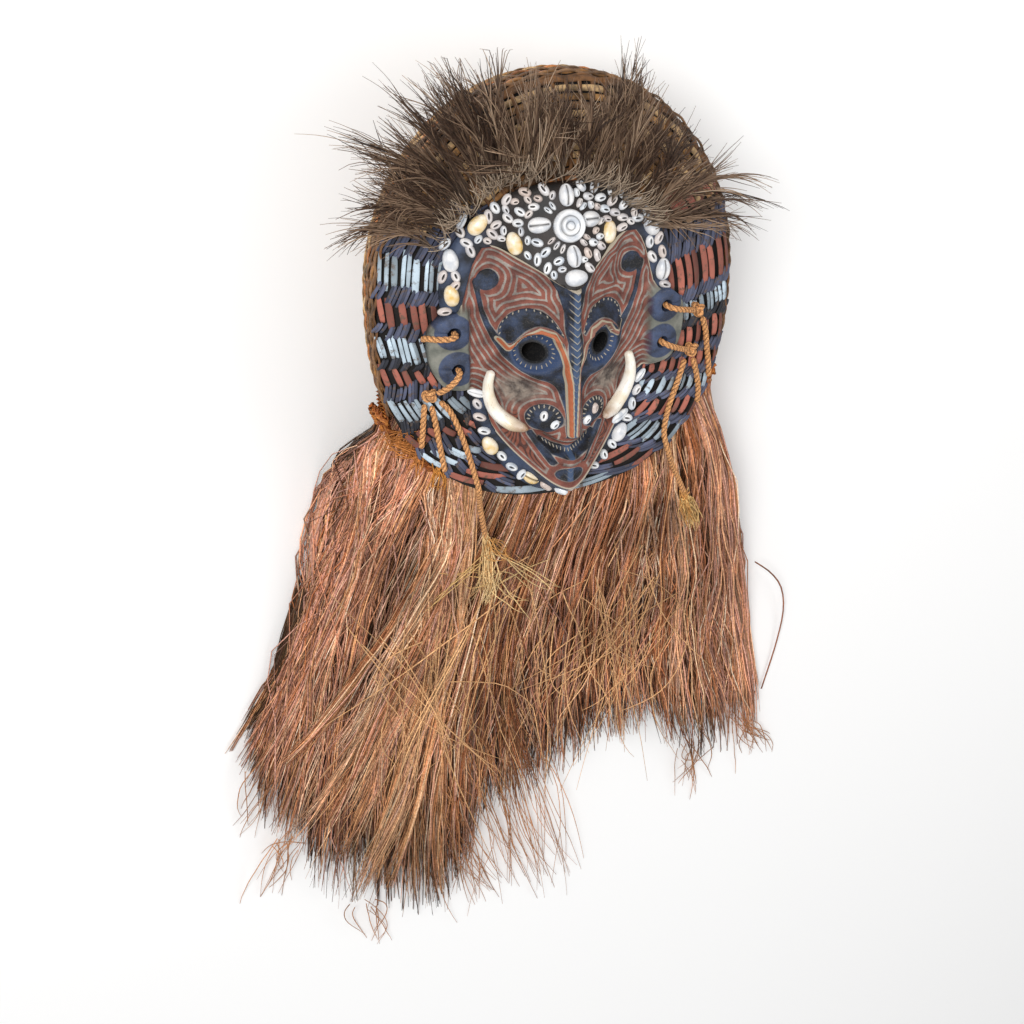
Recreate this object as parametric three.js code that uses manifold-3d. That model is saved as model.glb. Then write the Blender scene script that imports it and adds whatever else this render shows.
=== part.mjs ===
// Basketry helmet mask with a carved face, a shell-set forehead, boar tusks, a feather crest,
// corded ears and a long fibre skirt, lying on its back. Millimetres, +Z up.
// Origin: middle of the small flat spot on the back of the hood. +Y runs to the crown of the
// head, -Y down the skirt, +Z out of the face, -X is the mask's right side (left when looked at).
import * as THREE from 'three';
import { mergeVertices } from 'three/addons/utils/BufferGeometryUtils.js';
import Module from 'manifold-3d';

const wasm = await Module();
wasm.setup();

// Driving dimensions of the helmet
const gap = 0.3;                 // clearance between pieces that touch
const helmetWidth = 336;         // across the widest line
const crownLength = 195;         // from the origin to the crown
const bibLength = 180;           // from the origin to the lower edge of the front shield
const helmetOffset = 10;         // the woven head is a little off the carved face
const widestHeight = 165;        // height of the widest line above the floor
const shieldRise = 33;           // how far the front shield bulges above that line
const basketWall = 8;            // woven cane, two layers
const hoodRimY = -95;            // lower rim of the back hood
const bibCurve = 2.6;            // squareness of the shield's lower edge
const rimBand = 3;               // half the height of the rim edge
const hoodDepth = 166;           // depth of the back hood before its flat spot
const shieldReach = 300;         // how slowly the shield narrows below the widest line
const hoodReach = 330;           // how slowly the hood grows shallow below it

// Driving dimensions of the carved face
const keelHeight = 234;          // height of the face's middle line
const gableSlope = 0.62;         // fall of the two cheeks away from the middle line
const panelThickness = 6;        // wood left at the edge of the face
const eye = { x: 31, y: -28, socket: 17, depth: 12, hole: 8 };
const noseTipY = -107;
const nostril = { x: 23, y: -90, radius: 14, rise: 7 };
const lipY = -121;               // middle of the open mouth
const browBottomY = 31;          // where the forehead paste ends in a point
const earDiscs = [{ x: 98, y: -7 }, { x: 95, y: -41 }];
const earDiscRadius = 17;
const earPlateThickness = 13;
const earHole = 5.5;

// Driving dimensions of the skirt, the crest and the cords
const skirtFloor = 6;            // thickness of the fibres at the outer edges
const skirtWall = 14;            // thickness of the fibre layer where it is tied on
const settleLength = 150;        // how far below the rim the fibres reach the floor
const pocketEndY = -400;         // where the front fibres fall onto the back ones
const crestRoot = 124;           // radius of the tied feather roots about the origin
const cordDiameter = 6;

const mix = (a, b, t) => a + (b - a) * t;
const clamp = (v, low, high) => Math.min(Math.max(v, low), high);
const bump = (distance, radius) => Math.exp(-((distance / radius) ** 4));
const smooth = (v, low, high) => {
  const t = clamp((v - low) / (high - low), 0, 1);
  return t * t * (3 - 2 * t);
};

// Woven helmet: the outer face of the front shield and of the back hood as heights over the plan
const halfWidth = helmetWidth / 2;

function shieldTop(x, y, wall = 0) {
  const reach = y > 0 ? crownLength - wall : shieldReach;
  const side = (halfWidth - wall) * Math.sqrt(clamp(1 - (y / reach) ** 2, 0, 1));
  const across = clamp(1 - ((x - helmetOffset) / Math.max(side, 1)) ** 2, 0, 1);
  const along = y > 0 ? Math.sqrt(clamp(1 - (y / reach) ** 2, 0, 1)) : 1;
  return widestHeight - wall + rimBand + (shieldRise - rimBand) * along * across ** 0.65;
}

// Half the width of the helmet's plan at a distance up or down it
function planHalfWidth(y, wall = 0) {
  if (y > 0) return (halfWidth - wall) * Math.sqrt(clamp(1 - (y / (crownLength - wall)) ** 2, 0, 1));
  return (halfWidth - wall) * clamp(1 - (-y / (bibLength + wall)) ** bibCurve, 0, 1) ** (1 / bibCurve);
}

function hoodBack(x, y, wall = 0) {
  const across = clamp(1 - ((x - helmetOffset) / Math.max(planHalfWidth(y, wall), 1)) ** 2, 0, 1);
  const along = clamp(1 - (y / (y > 0 ? crownLength - wall : hoodReach)) ** 2, 0, 1);
  return Math.max(widestHeight - rimBand - hoodDepth * Math.sqrt(along * across), 0) + wall;
}

function helmetRadius(wall = 0) {
  return (angle) => {
    const c = Math.abs(Math.cos(angle)) / (halfWidth - wall);
    const s = Math.sin(angle);
    if (s >= 0) return 1 / Math.hypot(c, s / (crownLength - wall));
    return 1 / (c ** bibCurve + (-s / (bibLength + wall)) ** bibCurve) ** (1 / bibCurve);
  };
}

// Half outlines in plan, from the top middle to the bottom middle, seen from the front
const faceHalfOutline = [
  [0, 31], [27, 46], [44, 56], [58, 64], [69, 65], [79, 50], [86, 26], [92, 9], [104, 6],
  [116, -7], [118, -26], [114, -46], [105, -59], [92, -63], [80, -64], [71, -74],
  [64, -100], [50, -121], [30, -142], [13, -156], [0, -160],
];
const bedHalfOutline = [
  [0, 112], [38, 108], [70, 90], [92, 69], [103, 46], [106, 22], [103, 0], [92, -40], [82, -70],
  [79, -92], [72, -114], [60, -134], [44, -154], [24, -170], [0, -177],
];

function mirrored(half) {
  const other = half.slice(1, -1).reverse().map(([x, y]) => [-x, y]);
  const corners = [...half, ...other].map(([x, y]) => new THREE.Vector3(x, y, 0));
  return new THREE.CatmullRomCurve3(corners, true, 'centripetal').getPoints(400);
}

// Radius of a closed outline about a centre, as a function of the angle
function radiusOf(outline, centre, grow = 0) {
  const samples = outline.map((p) => {
    const dx = p.x - centre[0];
    const dy = p.y - centre[1];
    return { angle: Math.atan2(dy, dx), reach: Math.hypot(dx, dy) };
  });
  samples.sort((a, b) => a.angle - b.angle);
  return (wanted) => {
    const angle = Math.atan2(Math.sin(wanted), Math.cos(wanted));
    const next = samples.findIndex((s) => s.angle >= angle);
    if (next <= 0) return samples[0].reach + grow;
    const [a, b] = [samples[next - 1], samples[next]];
    return mix(a.reach, b.reach, (angle - a.angle) / Math.max(b.angle - a.angle, 1e-9)) + grow;
  };
}

// Height of the carved wood over the plan, with its keel, eye sockets, brows, nostrils and mouth
function faceTop(x, y) {
  const a = Math.abs(x);
  const gable = keelHeight + 4 - gableSlope * Math.hypot(a, 6);
  const keelWide = mix(5, 9, clamp((browBottomY - y) / (browBottomY - noseTipY), 0, 1));
  const keel = 9 * bump(a, keelWide) * smooth(y, noseTipY - 3, noseTipY + 2);
  const toEye = Math.hypot(a - eye.x, y - eye.y);
  const socket = -eye.depth * bump(toEye, eye.socket);
  const toBrow = Math.abs(Math.hypot(a - eye.x, (y - eye.y + 4) * 0.8) - 24);
  const brow = 4 * bump(toBrow, 5) * smooth(y, eye.y + 6, eye.y + 14);
  const nose = nostril.rise * bump(Math.hypot(a - nostril.x, y - nostril.y), nostril.radius);
  const lip = y - lipY - 0.022 * a * a;
  const mouth = (-9 * bump(lip, 6) + 5 * bump(lip + 11, 5)) * bump(a, 30);
  const carved = gable + keel + socket + brow + nose + mouth;
  const toDisc = Math.min(...earDiscs.map((d) => Math.hypot(a - d.x, y - d.y)));
  const ear = shieldTop(x, y) + earPlateThickness + 5 * bump(toDisc, earDiscRadius - 1);
  const isEar = smooth(a, 80, 86) * smooth(y, -70, -60) * (1 - smooth(y, 8, 16));
  return mix(Math.max(carved, shieldTop(x, y) + panelThickness), ear, isEar);
}

// Height of the dark paste that holds the shells: a boss over the brow, a slope round the chin
const faceCentre = [0, -40];
const faceOutline = mirrored(faceHalfOutline);
const faceRadius = radiusOf(faceOutline, faceCentre);

function bedTop(x, y) {
  const a = Math.abs(x);
  const boss = 236 - 0.36 * (y - 40) - 23 * (a / 43) ** 1.3;
  const out = Math.hypot(x, y - faceCentre[1]) - faceRadius(Math.atan2(y - faceCentre[1], x));
  const chin = keelHeight - gableSlope * a - 1.3 * Math.max(out, 0);
  return Math.max(shieldTop(x, y) + 8, y > -20 ? boss : chin);
}

// A closed solid from positions and outward triangles
function solidOf(positions, triangles) {
  return new wasm.Manifold(new wasm.Mesh({
    numProp: 3,
    vertProperties: new Float32Array(positions.flat()),
    triVerts: new Uint32Array(triangles.flat()),
  }));
}

function solidOfGeometry(geometry) {
  const bare = geometry.clone();
  bare.deleteAttribute('normal');
  bare.deleteAttribute('uv');
  const merged = mergeVertices(bare, 1e-3);
  return new wasm.Manifold(new wasm.Mesh({
    numProp: 3,
    vertProperties: new Float32Array(merged.attributes.position.array),
    triVerts: new Uint32Array(merged.index.array),
  }));
}

function geometryOf(solid) {
  const mesh = solid.getMesh();
  const geometry = new THREE.BufferGeometry();
  geometry.setAttribute('position', new THREE.BufferAttribute(mesh.vertProperties, 3));
  geometry.setIndex(new THREE.BufferAttribute(mesh.triVerts, 1));
  geometry.computeVertexNormals();
  return geometry;
}

// A block whose plan is a star-shaped outline, with its own height functions above and below
function polarBlock({ centre, radius, top, bottom, spokes, rings, bottomRings = 1 }) {
  const positions = [];
  const triangles = [];
  const place = (ring, count, spoke, height) => {
    const angle = (2 * Math.PI * spoke) / spokes;
    const reach = radius(angle) * (ring / count);
    const x = centre[0] + reach * Math.cos(angle);
    const y = centre[1] + reach * Math.sin(angle);
    return [x, y, height(x, y)];
  };
  const layer = (count, height, up) => {
    const first = positions.length;
    positions.push([centre[0], centre[1], height(centre[0], centre[1])]);
    for (let ring = 1; ring <= count; ring += 1) {
      for (let spoke = 0; spoke < spokes; spoke += 1) {
        positions.push(place(ring, count, spoke, height));
      }
    }
    const at = (ring, spoke) => first + 1 + (ring - 1) * spokes + (spoke % spokes);
    const face = (a, b, c) => triangles.push(up ? [a, b, c] : [a, c, b]);
    for (let spoke = 0; spoke < spokes; spoke += 1) {
      face(first, at(1, spoke), at(1, spoke + 1));
      for (let ring = 1; ring < count; ring += 1) {
        face(at(ring, spoke), at(ring + 1, spoke), at(ring + 1, spoke + 1));
        face(at(ring, spoke), at(ring + 1, spoke + 1), at(ring, spoke + 1));
      }
    }
    return (spoke) => at(count, spoke);
  };
  const upper = layer(rings, top, true);
  const lower = layer(bottomRings, bottom, false);
  for (let spoke = 0; spoke < spokes; spoke += 1) {
    triangles.push([upper(spoke), lower(spoke), lower(spoke + 1)]);
    triangles.push([upper(spoke), lower(spoke + 1), upper(spoke + 1)]);
  }
  return solidOf(positions, triangles);
}

// Triangles of the flat underside, found from its edge, which is walked clockwise from above
function undersideOf(positions, under, columns, rows) {
  const loop = [];
  for (let column = 0; column < columns; column += 1) loop.push(under(column, 0));
  for (let row = 0; row < rows; row += 1) loop.push(under(columns, row));
  for (let column = columns; column > 0; column -= 1) loop.push(under(column, rows));
  for (let row = rows; row > 0; row -= 1) loop.push(under(0, row));
  const flat = loop.map((slot) => new THREE.Vector2(positions[slot][0], positions[slot][1]));
  return THREE.ShapeUtils.triangulateShape(flat, []).map((corners) => {
    const [a, b, c] = corners.map((corner) => loop[corner]);
    const [p, q, r] = corners.map((corner) => flat[corner]);
    const turn = (q.x - p.x) * (r.y - p.y) - (q.y - p.y) * (r.x - p.x);
    return turn > 0 ? [a, c, b] : [a, b, c];
  });
}

// A block over a bent grid of plan points; place(u, v) gives x, y. With a floor given it has one
// flat underside at that height, else a bottom function
function gridBlock({ columns, rows, place, top, bottom, floor }) {
  const positions = [];
  const triangles = [];
  const layer = (height, edgeOnly) => {
    const slots = new Map();
    for (let row = 0; row <= rows; row += 1) {
      for (let column = 0; column <= columns; column += 1) {
        const isEdge = row % rows === 0 || column % columns === 0;
        if (edgeOnly && !isEdge) continue;
        const [u, v] = [column / columns, row / rows];
        const [x, y] = place(u, v);
        slots.set(`${column} ${row}`, positions.length);
        positions.push([x, y, height(x, y, u, v)]);
      }
    }
    return (column, row) => slots.get(`${column} ${row}`);
  };
  const isFlat = floor !== undefined;
  const over = layer(top, false);
  const under = layer(isFlat ? () => floor : bottom, isFlat);
  const quad = (a, b, c, d) => triangles.push([a, b, c], [a, c, d]);
  for (let row = 0; row < rows; row += 1) {
    for (let column = 0; column < columns; column += 1) {
      const [c, r] = [column + 1, row + 1];
      quad(over(column, row), over(column, r), over(c, r), over(c, row));
      if (!isFlat) quad(under(column, row), under(c, row), under(c, r), under(column, r));
    }
    const r = row + 1;
    quad(over(0, row), under(0, row), under(0, r), over(0, r));
    quad(over(columns, r), under(columns, r), under(columns, row), over(columns, row));
  }
  for (let column = 0; column < columns; column += 1) {
    const c = column + 1;
    quad(over(c, 0), under(c, 0), under(column, 0), over(column, 0));
    quad(over(column, rows), under(column, rows), under(c, rows), over(c, rows));
  }
  if (isFlat) triangles.push(...undersideOf(positions, under, columns, rows));
  return solidOf(positions, triangles);
}

function box(x0, x1, y0, y1, z0, z1) {
  const geometry = new THREE.BoxGeometry(x1 - x0, y1 - y0, z1 - z0);
  return solidOfGeometry(geometry.translate((x0 + x1) / 2, (y0 + y1) / 2, (z0 + z1) / 2));
}

function drill(x, y, radius, sides, z0 = -50, z1 = 400) {
  const geometry = new THREE.CylinderGeometry(radius, radius, z1 - z0, sides).rotateX(Math.PI / 2);
  return solidOfGeometry(geometry.translate(x, y, (z0 + z1) / 2));
}

const group = new THREE.Group();

const finishes = {
  cane: { color: 0x8a6a4c, roughness: 0.8 },
  wood: { color: 0x7c4235, roughness: 0.6 },
  paste: { color: 0x33282a, roughness: 0.7 },
  shell: { color: 0xe9dfd0, roughness: 0.3 },
  yellowShell: { color: 0xd9bd76, roughness: 0.3 },
  ivory: { color: 0xe6dcc6, roughness: 0.4 },
  feather: { color: 0x43332a, roughness: 0.9 },
  fibre: { color: 0xa4663b, roughness: 0.9 },
  cord: { color: 0xbd7637, roughness: 0.9 },
};

function add(name, geometry, finish) {
  const material = new THREE.MeshStandardMaterial({ ...finishes[finish], metalness: 0 });
  const mesh = new THREE.Mesh(geometry, material);
  mesh.name = name;
  group.add(mesh);
}

// Woven helmet, hollow, open below, with eye holes through the shield
const helmetCentre = [helmetOffset, 0];

function helmetShell(wall) {
  return polarBlock({
    centre: helmetCentre,
    radius: helmetRadius(wall),
    top: (x, y) => shieldTop(x, y, wall),
    bottom: (x, y) => hoodBack(x, y, wall),
    spokes: 34,
    rings: 6,
    bottomRings: 6,
  });
}

const helmetEnvelope = helmetShell(0);
const belowHood = box(-250, 250, -400, hoodRimY, -50, widestHeight - rimBand - 4);
let helmet = helmetEnvelope.subtract(helmetShell(basketWall)).subtract(belowHood);
for (const side of [-1, 1]) {
  helmet = helmet.subtract(drill(side * eye.x, eye.y, eye.hole + 2, 10, widestHeight));
}
add('helmet_basket', geometryOf(helmet), 'cane');

// Carved wooden face with its two ear plates, sitting on the shield
const onShield = helmetEnvelope.translate([0, 0, gap]);
let face = polarBlock({
  centre: faceCentre,
  radius: faceRadius,
  top: faceTop,
  bottom: () => 100,
  spokes: 54,
  rings: 11,
}).subtract(onShield);
for (const side of [-1, 1]) {
  face = face.subtract(drill(side * eye.x, eye.y, eye.hole, 10));
  for (const disc of earDiscs) {
    face = face.subtract(drill(side * disc.x, disc.y, earHole, 8));
  }
}
face = face.intersect(box(-200, 200, -300, 200, 150, 400));
add('carved_face', geometryOf(face), 'wood');

// Dark paste that holds the shells: the forehead with its sides, and the border round the chin
const faceHollow = polarBlock({
  centre: faceCentre,
  radius: radiusOf(faceOutline, faceCentre, 1),
  top: () => 390,
  bottom: () => 50,
  spokes: 54,
  rings: 1,
});
const bedCentre = [0, -30];
const bed = polarBlock({
  centre: bedCentre,
  radius: radiusOf(mirrored(bedHalfOutline), bedCentre),
  top: bedTop,
  bottom: () => 100,
  spokes: 44,
  rings: 9,
}).subtract(onShield).subtract(faceHollow);
const foreheadBed = bed.intersect(box(-200, 200, -20, 200, 150, 400));
const chinBed = bed.intersect(box(-200, 200, -300, -50, 150, 400));
add('shell_bed_forehead', geometryOf(foreheadBed), 'paste');
add('shell_bed_chin', geometryOf(chinBed), 'paste');

// Cowries half sunk in the paste: plan place, turn of the long axis, length, finish
const cowries = {
  rosette_cowrie_top: [0, 106, 90, 19, 'shell'],
  rosette_cowrie_left: [-23, 82, 0, 20, 'shell'],
  rosette_cowrie_right: [23, 82, 0, 20, 'shell'],
  rosette_cowrie_bottom: [1, 58, 90, 19, 'shell'],
  brow_cowrie_middle: [1, 41, 0, 21, 'shell'],
  brow_cowrie_left: [-43, 66, 115, 20, 'yellowShell'],
  brow_cowrie_right: [43, 66, 65, 20, 'yellowShell'],
  border_cowrie_left_1: [-97, 55, 100, 20, 'shell'],
  border_cowrie_left_2: [-73, 84, 45, 20, 'yellowShell'],
  border_cowrie_left_3: [-97, 24, 100, 19, 'yellowShell'],
  border_cowrie_right_1: [84, 66, 120, 20, 'shell'],
  border_cowrie_right_2: [97, 24, 85, 20, 'shell'],
  chin_cowrie_left: [-65, -121, 120, 19, 'yellowShell'],
  chin_cowrie_right: [59, -127, 60, 19, 'shell'],
  chin_cowrie_middle: [-27, -158, 150, 17, 'yellowShell'],
};

function tiltAt(x, y, height) {
  const step = 4;
  const slopeX = (height(x + step, y) - height(x - step, y)) / (2 * step);
  const slopeY = (height(x, y + step) - height(x, y - step)) / (2 * step);
  const normal = new THREE.Vector3(-slopeX, -slopeY, 1).normalize();
  return new THREE.Quaternion().setFromUnitVectors(new THREE.Vector3(0, 0, 1), normal);
}

const bedUnderShells = bed.translate([0, 0, gap]);
const ringShell = { x: 0, y: 82 };

for (const [name, [x, y, turn, length, finish]] of Object.entries(cowries)) {
  const egg = new THREE.SphereGeometry(1, 8, 5).rotateX(Math.PI / 2);
  egg.scale(length / 2, length * 0.34, length * 0.3).rotateZ(THREE.MathUtils.degToRad(turn));
  egg.applyQuaternion(tiltAt(x, y, bedTop)).translate(x, y, bedTop(x, y));
  const seated = solidOfGeometry(egg).subtract(bedUnderShells).subtract(faceHollow);
  add(name, geometryOf(seated), finish);
}

const ringProfile = [[0, -6], [13, -6], [14, 0], [11, 4], [7, 2], [4, 5], [0, 7]]
  .map(([r, z]) => new THREE.Vector2(r, z));
const ring = new THREE.LatheGeometry(ringProfile, 12).rotateX(Math.PI / 2);
ring.applyQuaternion(tiltAt(ringShell.x, ringShell.y, bedTop));
ring.translate(ringShell.x, ringShell.y, bedTop(ringShell.x, ringShell.y));
add('ring_shell', geometryOf(solidOfGeometry(ring).subtract(bedUnderShells)), 'shell');

// A tapering horn: rings of a given half thickness along a smooth line
function horn(points, thicknesses, sides, steps) {
  const line = new THREE.CatmullRomCurve3(points.map((p) => new THREE.Vector3(...p)));
  const positions = [];
  const triangles = [];
  const up = new THREE.Vector3(0, 0, 1);
  for (let step = 0; step <= steps; step += 1) {
    const t = step / steps;
    const place = line.getPointAt(t);
    const ahead = line.getTangentAt(t);
    const side = new THREE.Vector3().crossVectors(ahead, up).normalize();
    const over = new THREE.Vector3().crossVectors(side, ahead);
    const slot = t * (thicknesses.length - 1);
    const low = Math.min(Math.floor(slot), thicknesses.length - 2);
    const half = mix(thicknesses[low], thicknesses[low + 1], slot - low);
    for (let corner = 0; corner < sides; corner += 1) {
      const angle = (2 * Math.PI * corner) / sides;
      const p = place.clone().addScaledVector(side, half * Math.cos(angle));
      p.addScaledVector(over, half * Math.sin(angle));
      positions.push(p.toArray());
    }
  }
  const at = (step, corner) => step * sides + (corner % sides);
  for (let step = 0; step < steps; step += 1) {
    for (let corner = 0; corner < sides; corner += 1) {
      const [a, b] = [at(step, corner), at(step, corner + 1)];
      const [c, d] = [at(step + 1, corner + 1), at(step + 1, corner)];
      triangles.push([a, c, b], [a, d, c]);
    }
  }
  for (let corner = 1; corner < sides - 1; corner += 1) {
    triangles.push([at(0, 0), at(0, corner), at(0, corner + 1)]);
    triangles.push([at(steps, 0), at(steps, corner + 1), at(steps, corner)]);
  }
  return solidOf(positions, triangles);
}

// Boar tusks, set at the corners of the mouth and curving up the cheeks
const tuskPlan = [[36, -101], [49, -97], [60, -87], [66, -73], [67, -60], [64, -47]];
const tuskHalves = [7, 8, 7.5, 6.5, 4.5, 1.5];
const faceUnderTusks = face.translate([0, 0, gap]);

for (const [name, side] of [['tusk_left', -1], ['tusk_right', 1]]) {
  const route = tuskPlan.map(([x, y]) => [side * x, y, faceTop(x, y) + 4]);
  const tusk = horn(route, tuskHalves, 6, 8);
  add(name, geometryOf(tusk.subtract(faceUnderTusks).subtract(bedUnderShells)), 'ivory');
}

// Crest of feathers tied along the top of the forehead, a ragged fan that leans over the crown
const crestFrom = THREE.MathUtils.degToRad(18);
const crestTo = THREE.MathUtils.degToRad(160);
const crestLocks = 9;

function crestPlace(u, v) {
  const angle = mix(crestFrom, crestTo, u);
  const lock = Math.abs(((u * crestLocks * 2) % 2) - 1) * (0.6 + 0.4 * Math.sin(9 * u));
  const reach = 184 + 34 * lock + 24 * bump(u - 0.82, 0.2);
  const edge = mix(crestRoot, reach, v);
  return [edge * Math.cos(angle), edge * Math.sin(angle)];
}

const crest = gridBlock({
  columns: 36,
  rows: 2,
  place: crestPlace,
  top: (x, y, u, v) => mix(204, 232, v) + 8 * Math.sin(Math.PI * v),
  bottom: (x, y, u, v) => Math.max(shieldTop(x, y) + 1.5, mix(186, 222, v)),
});
add('feather_crest', geometryOf(crest.subtract(bed.translate([0, 0, gap]))), 'feather');

// Fibre skirt: a thick layer that leaves the helmet's lower rim and falls to the floor
const fallAway = (y) => hoodRimY - y;
const skirtLeft = (y) => -156 - 0.1 * fallAway(y) - 0.0004 * fallAway(y) ** 2;
const skirtRight = (y) => (
  174 + 0.75 * fallAway(y) - 0.00095 * fallAway(y) ** 2 + 55 * smooth(fallAway(y), 400, 580));
const crestLine = [[-95, 184], [-180, 180], [-240, 158], [-330, 115], [-430, 78], [-560, 50],
  [-700, 36], [-870, 22]];

// Near the helmet the skirt keeps the rim's round section, and further down it settles on the floor
const rimShare = (y) => 0.8 * (1 - smooth(fallAway(y), 0, settleLength));

function skirtTop(x, y) {
  const next = Math.max(crestLine.findIndex(([at]) => at <= y), 1);
  const [[y0, z0], [y1, z1]] = [crestLine[next - 1], crestLine[next]];
  const height = mix(z0, z1, clamp((y0 - y) / (y0 - y1), 0, 1));
  const middle = (skirtLeft(y) + skirtRight(y)) / 2;
  const across = (x - middle) / ((skirtRight(y) - skirtLeft(y)) / 2);
  const section = Math.max(clamp(1 - Math.abs(across) ** 4.5, 0, 1) ** 0.6, rimShare(y));
  const loose = skirtFloor + (height - skirtFloor) * section;
  return y > -bibLength ? Math.min(loose, shieldTop(x, y) - basketWall - 8) : loose;
}

// Lines that the fibres follow: tied end, turning point and free end, from left to right
const fibreLines = [
  [[-153, -97], [-205, -330], [-281, -545]],
  [[-130, -97], [-225, -380], [-256, -650]],
  [[-98, -97], [-190, -420], [-205, -745]],
  [[-62, -97], [-140, -440], [-140, -815]],
  [[-30, -97], [-100, -440], [-84, -850]],
  [[-5, -97], [-58, -430], [-42, -800]],
  [[20, -97], [-20, -420], [-12, -700]],
  [[48, -97], [40, -400], [52, -668]],
  [[76, -97], [90, -390], [122, -622]],
  [[104, -97], [135, -385], [175, -622]],
  [[130, -97], [200, -390], [250, -684]],
  [[152, -97], [265, -380], [316, -702]],
  [[172, -97], [300, -340], [345, -672]],
];

function fibrePoint(u, v) {
  const slot = u * (fibreLines.length - 1);
  const low = Math.min(Math.floor(slot), fibreLines.length - 2);
  const [root, turn, tip] = [0, 1, 2].map((k) => [0, 1].map((axis) => (
    mix(fibreLines[low][k][axis], fibreLines[low + 1][k][axis], slot - low))));
  return [0, 1].map((axis) => (
    (1 - v) ** 2 * root[axis] + 2 * v * (1 - v) * turn[axis] + v * v * tip[axis]));
}

const skirtLocks = 9;

function skirtSurface(x, y, u, v) {
  const lock = 6 * smooth(v, 0.2, 0.4) * (0.5 + 0.5 * Math.cos(2 * Math.PI * skirtLocks * u));
  const atEdge = Math.min(smooth(u, -0.02, 0.06), smooth(1 - u, -0.02, 0.06));
  const atTip = mix(0.35, 1, smooth(1 - v, 0, 0.2));
  const share = Math.max(atEdge, rimShare(y)) * atTip;
  return Math.max(skirtFloor, mix(skirtFloor, skirtTop(x, y) - lock, share));
}

const skirtBlock = gridBlock({
  columns: 26,
  rows: 12,
  place: (u, v) => {
    const raggedEnd = 0.02 * Math.sin(2 * Math.PI * skirtLocks * u);
    return fibrePoint(u, v * (1 - 0.02 + raggedEnd));
  },
  top: skirtSurface,
  floor: 0,
});

// Clear of the floor under the heading, because the fibres hang from the hood's round rim
function hangingUnderside(x, y) {
  const hung = hoodBack(x, hoodRimY) * (1 - smooth(fallAway(y), 0, settleLength));
  return Math.max(Math.min(hung, skirtTop(x, y) - skirtWall), 0);
}

const underHeading = gridBlock({
  columns: 20,
  rows: 4,
  place: (u, v) => [mix(-200, 280, u), mix(hoodRimY + 2, hoodRimY - settleLength, v)],
  top: hangingUnderside,
  bottom: () => -5,
});
const pocketFloor = (x, y) => skirtWall + hangingUnderside(x, y);
const pocket = gridBlock({
  columns: 12,
  rows: 7,
  place: (u, v) => {
    const y = mix(hoodRimY + 20, pocketEndY, v);
    return [mix(skirtLeft(y) + 34, skirtRight(y) - 40, u), y];
  },
  top: (x, y) => Math.max(skirtTop(x, y) - skirtWall - 0.09 * fallAway(y), pocketFloor(x, y) + 4),
  bottom: pocketFloor,
});
let skirt = skirtBlock.subtract(underHeading).subtract(pocket).subtract(helmet);
for (const clear of [[0, 0, -gap], [-gap, 0, 0], [gap, 0, 0]]) {
  skirt = skirt.subtract(helmet.translate(clear));
}
add('fibre_skirt', geometryOf(skirt), 'fibre');

// Ear cords of twisted fibre: through the ear holes, over the plate's edge, to a knot and down
const cordRoutes = {
  ear_cord_left_upper: [[-98, -7, 203], [-98.5, -7, 212], [-103, -7, 215.5], [-110, -7.5, 214],
    [-117, -8.5, 208.5], [-121.5, -10, 201], [-122.5, -14, 192.5]],
  ear_cord_left_lower: [[-95, -41, 203], [-95.5, -42, 212], [-99, -46, 214.5], [-105, -53, 212],
    [-110, -59, 206], [-112.5, -62.5, 200.5]],
  ear_strand_left_1: [[-121, -77, 189], [-122, -92, 188], [-123, -108, 187], [-124, -121, 186]],
  ear_strand_left_2: [[-115, -79, 190], [-112, -95, 190.5], [-109, -115, 190.5],
    [-106, -133, 190.5], [-104, -146, 190]],
  ear_strand_left_3: [[-108, -75, 192], [-100, -84, 193], [-92, -102, 194.5], [-84, -127, 195],
    [-78, -150, 195.5], [-74, -166, 195.5], [-72, -176, 191], [-69, -187, 183], [-66, -199, 176],
    [-61, -218, 168], [-53, -253, 154.5], [-47, -280, 142], [-41, -308, 129]],
  ear_cord_right_upper: [[98, -7, 203], [98.5, -7, 212], [102, -8, 215.5], [110, -11, 213.5],
    [118, -14, 209], [126, -18, 202.5], [131, -20, 198]],
  ear_cord_right_lower: [[95, -41, 203], [95.5, -41, 212], [99, -43, 214.5], [106, -47, 212],
    [113, -51, 207.5], [120, -55, 202], [126, -58, 197.5]],
  ear_strand_right_1: [[128, -71, 190], [121, -93, 191], [113, -118, 191.5], [110, -142, 191.5],
    [113, -156, 191.5], [117, -166, 189], [122, -177, 184], [128, -189, 178.5], [141, -213, 169],
    [157, -245, 155.5]],
  ear_strand_right_2: [[137, -72, 188], [143, -90, 185.5], [147, -108, 183], [147, -121, 182]],
  ear_strand_right_3: [[145, -33, 187], [150, -48, 185], [153, -65, 183.5], [157, -84, 181],
    [159, -98, 179]],
};

function cordTube(points, diameter) {
  const line = new THREE.CatmullRomCurve3(points.map((p) => new THREE.Vector3(...p)), false,
    'centripetal');
  const section = new THREE.Shape();
  const sides = 8;
  for (let corner = 0; corner < sides; corner += 1) {
    const angle = (2 * Math.PI * corner) / sides;
    const [x, y] = [diameter / 2 * Math.cos(angle), diameter / 2 * Math.sin(angle)];
    if (corner === 0) section.moveTo(x, y);
    else section.lineTo(x, y);
  }
  const steps = Math.max(Math.round(line.getLength() / (2.6 * diameter)), 4);
  return new THREE.ExtrudeGeometry(section, { steps, extrudePath: line, bevelEnabled: false });
}

for (const [name, route] of Object.entries(cordRoutes)) {
  add(name, cordTube(route, cordDiameter), 'cord');
}

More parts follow.
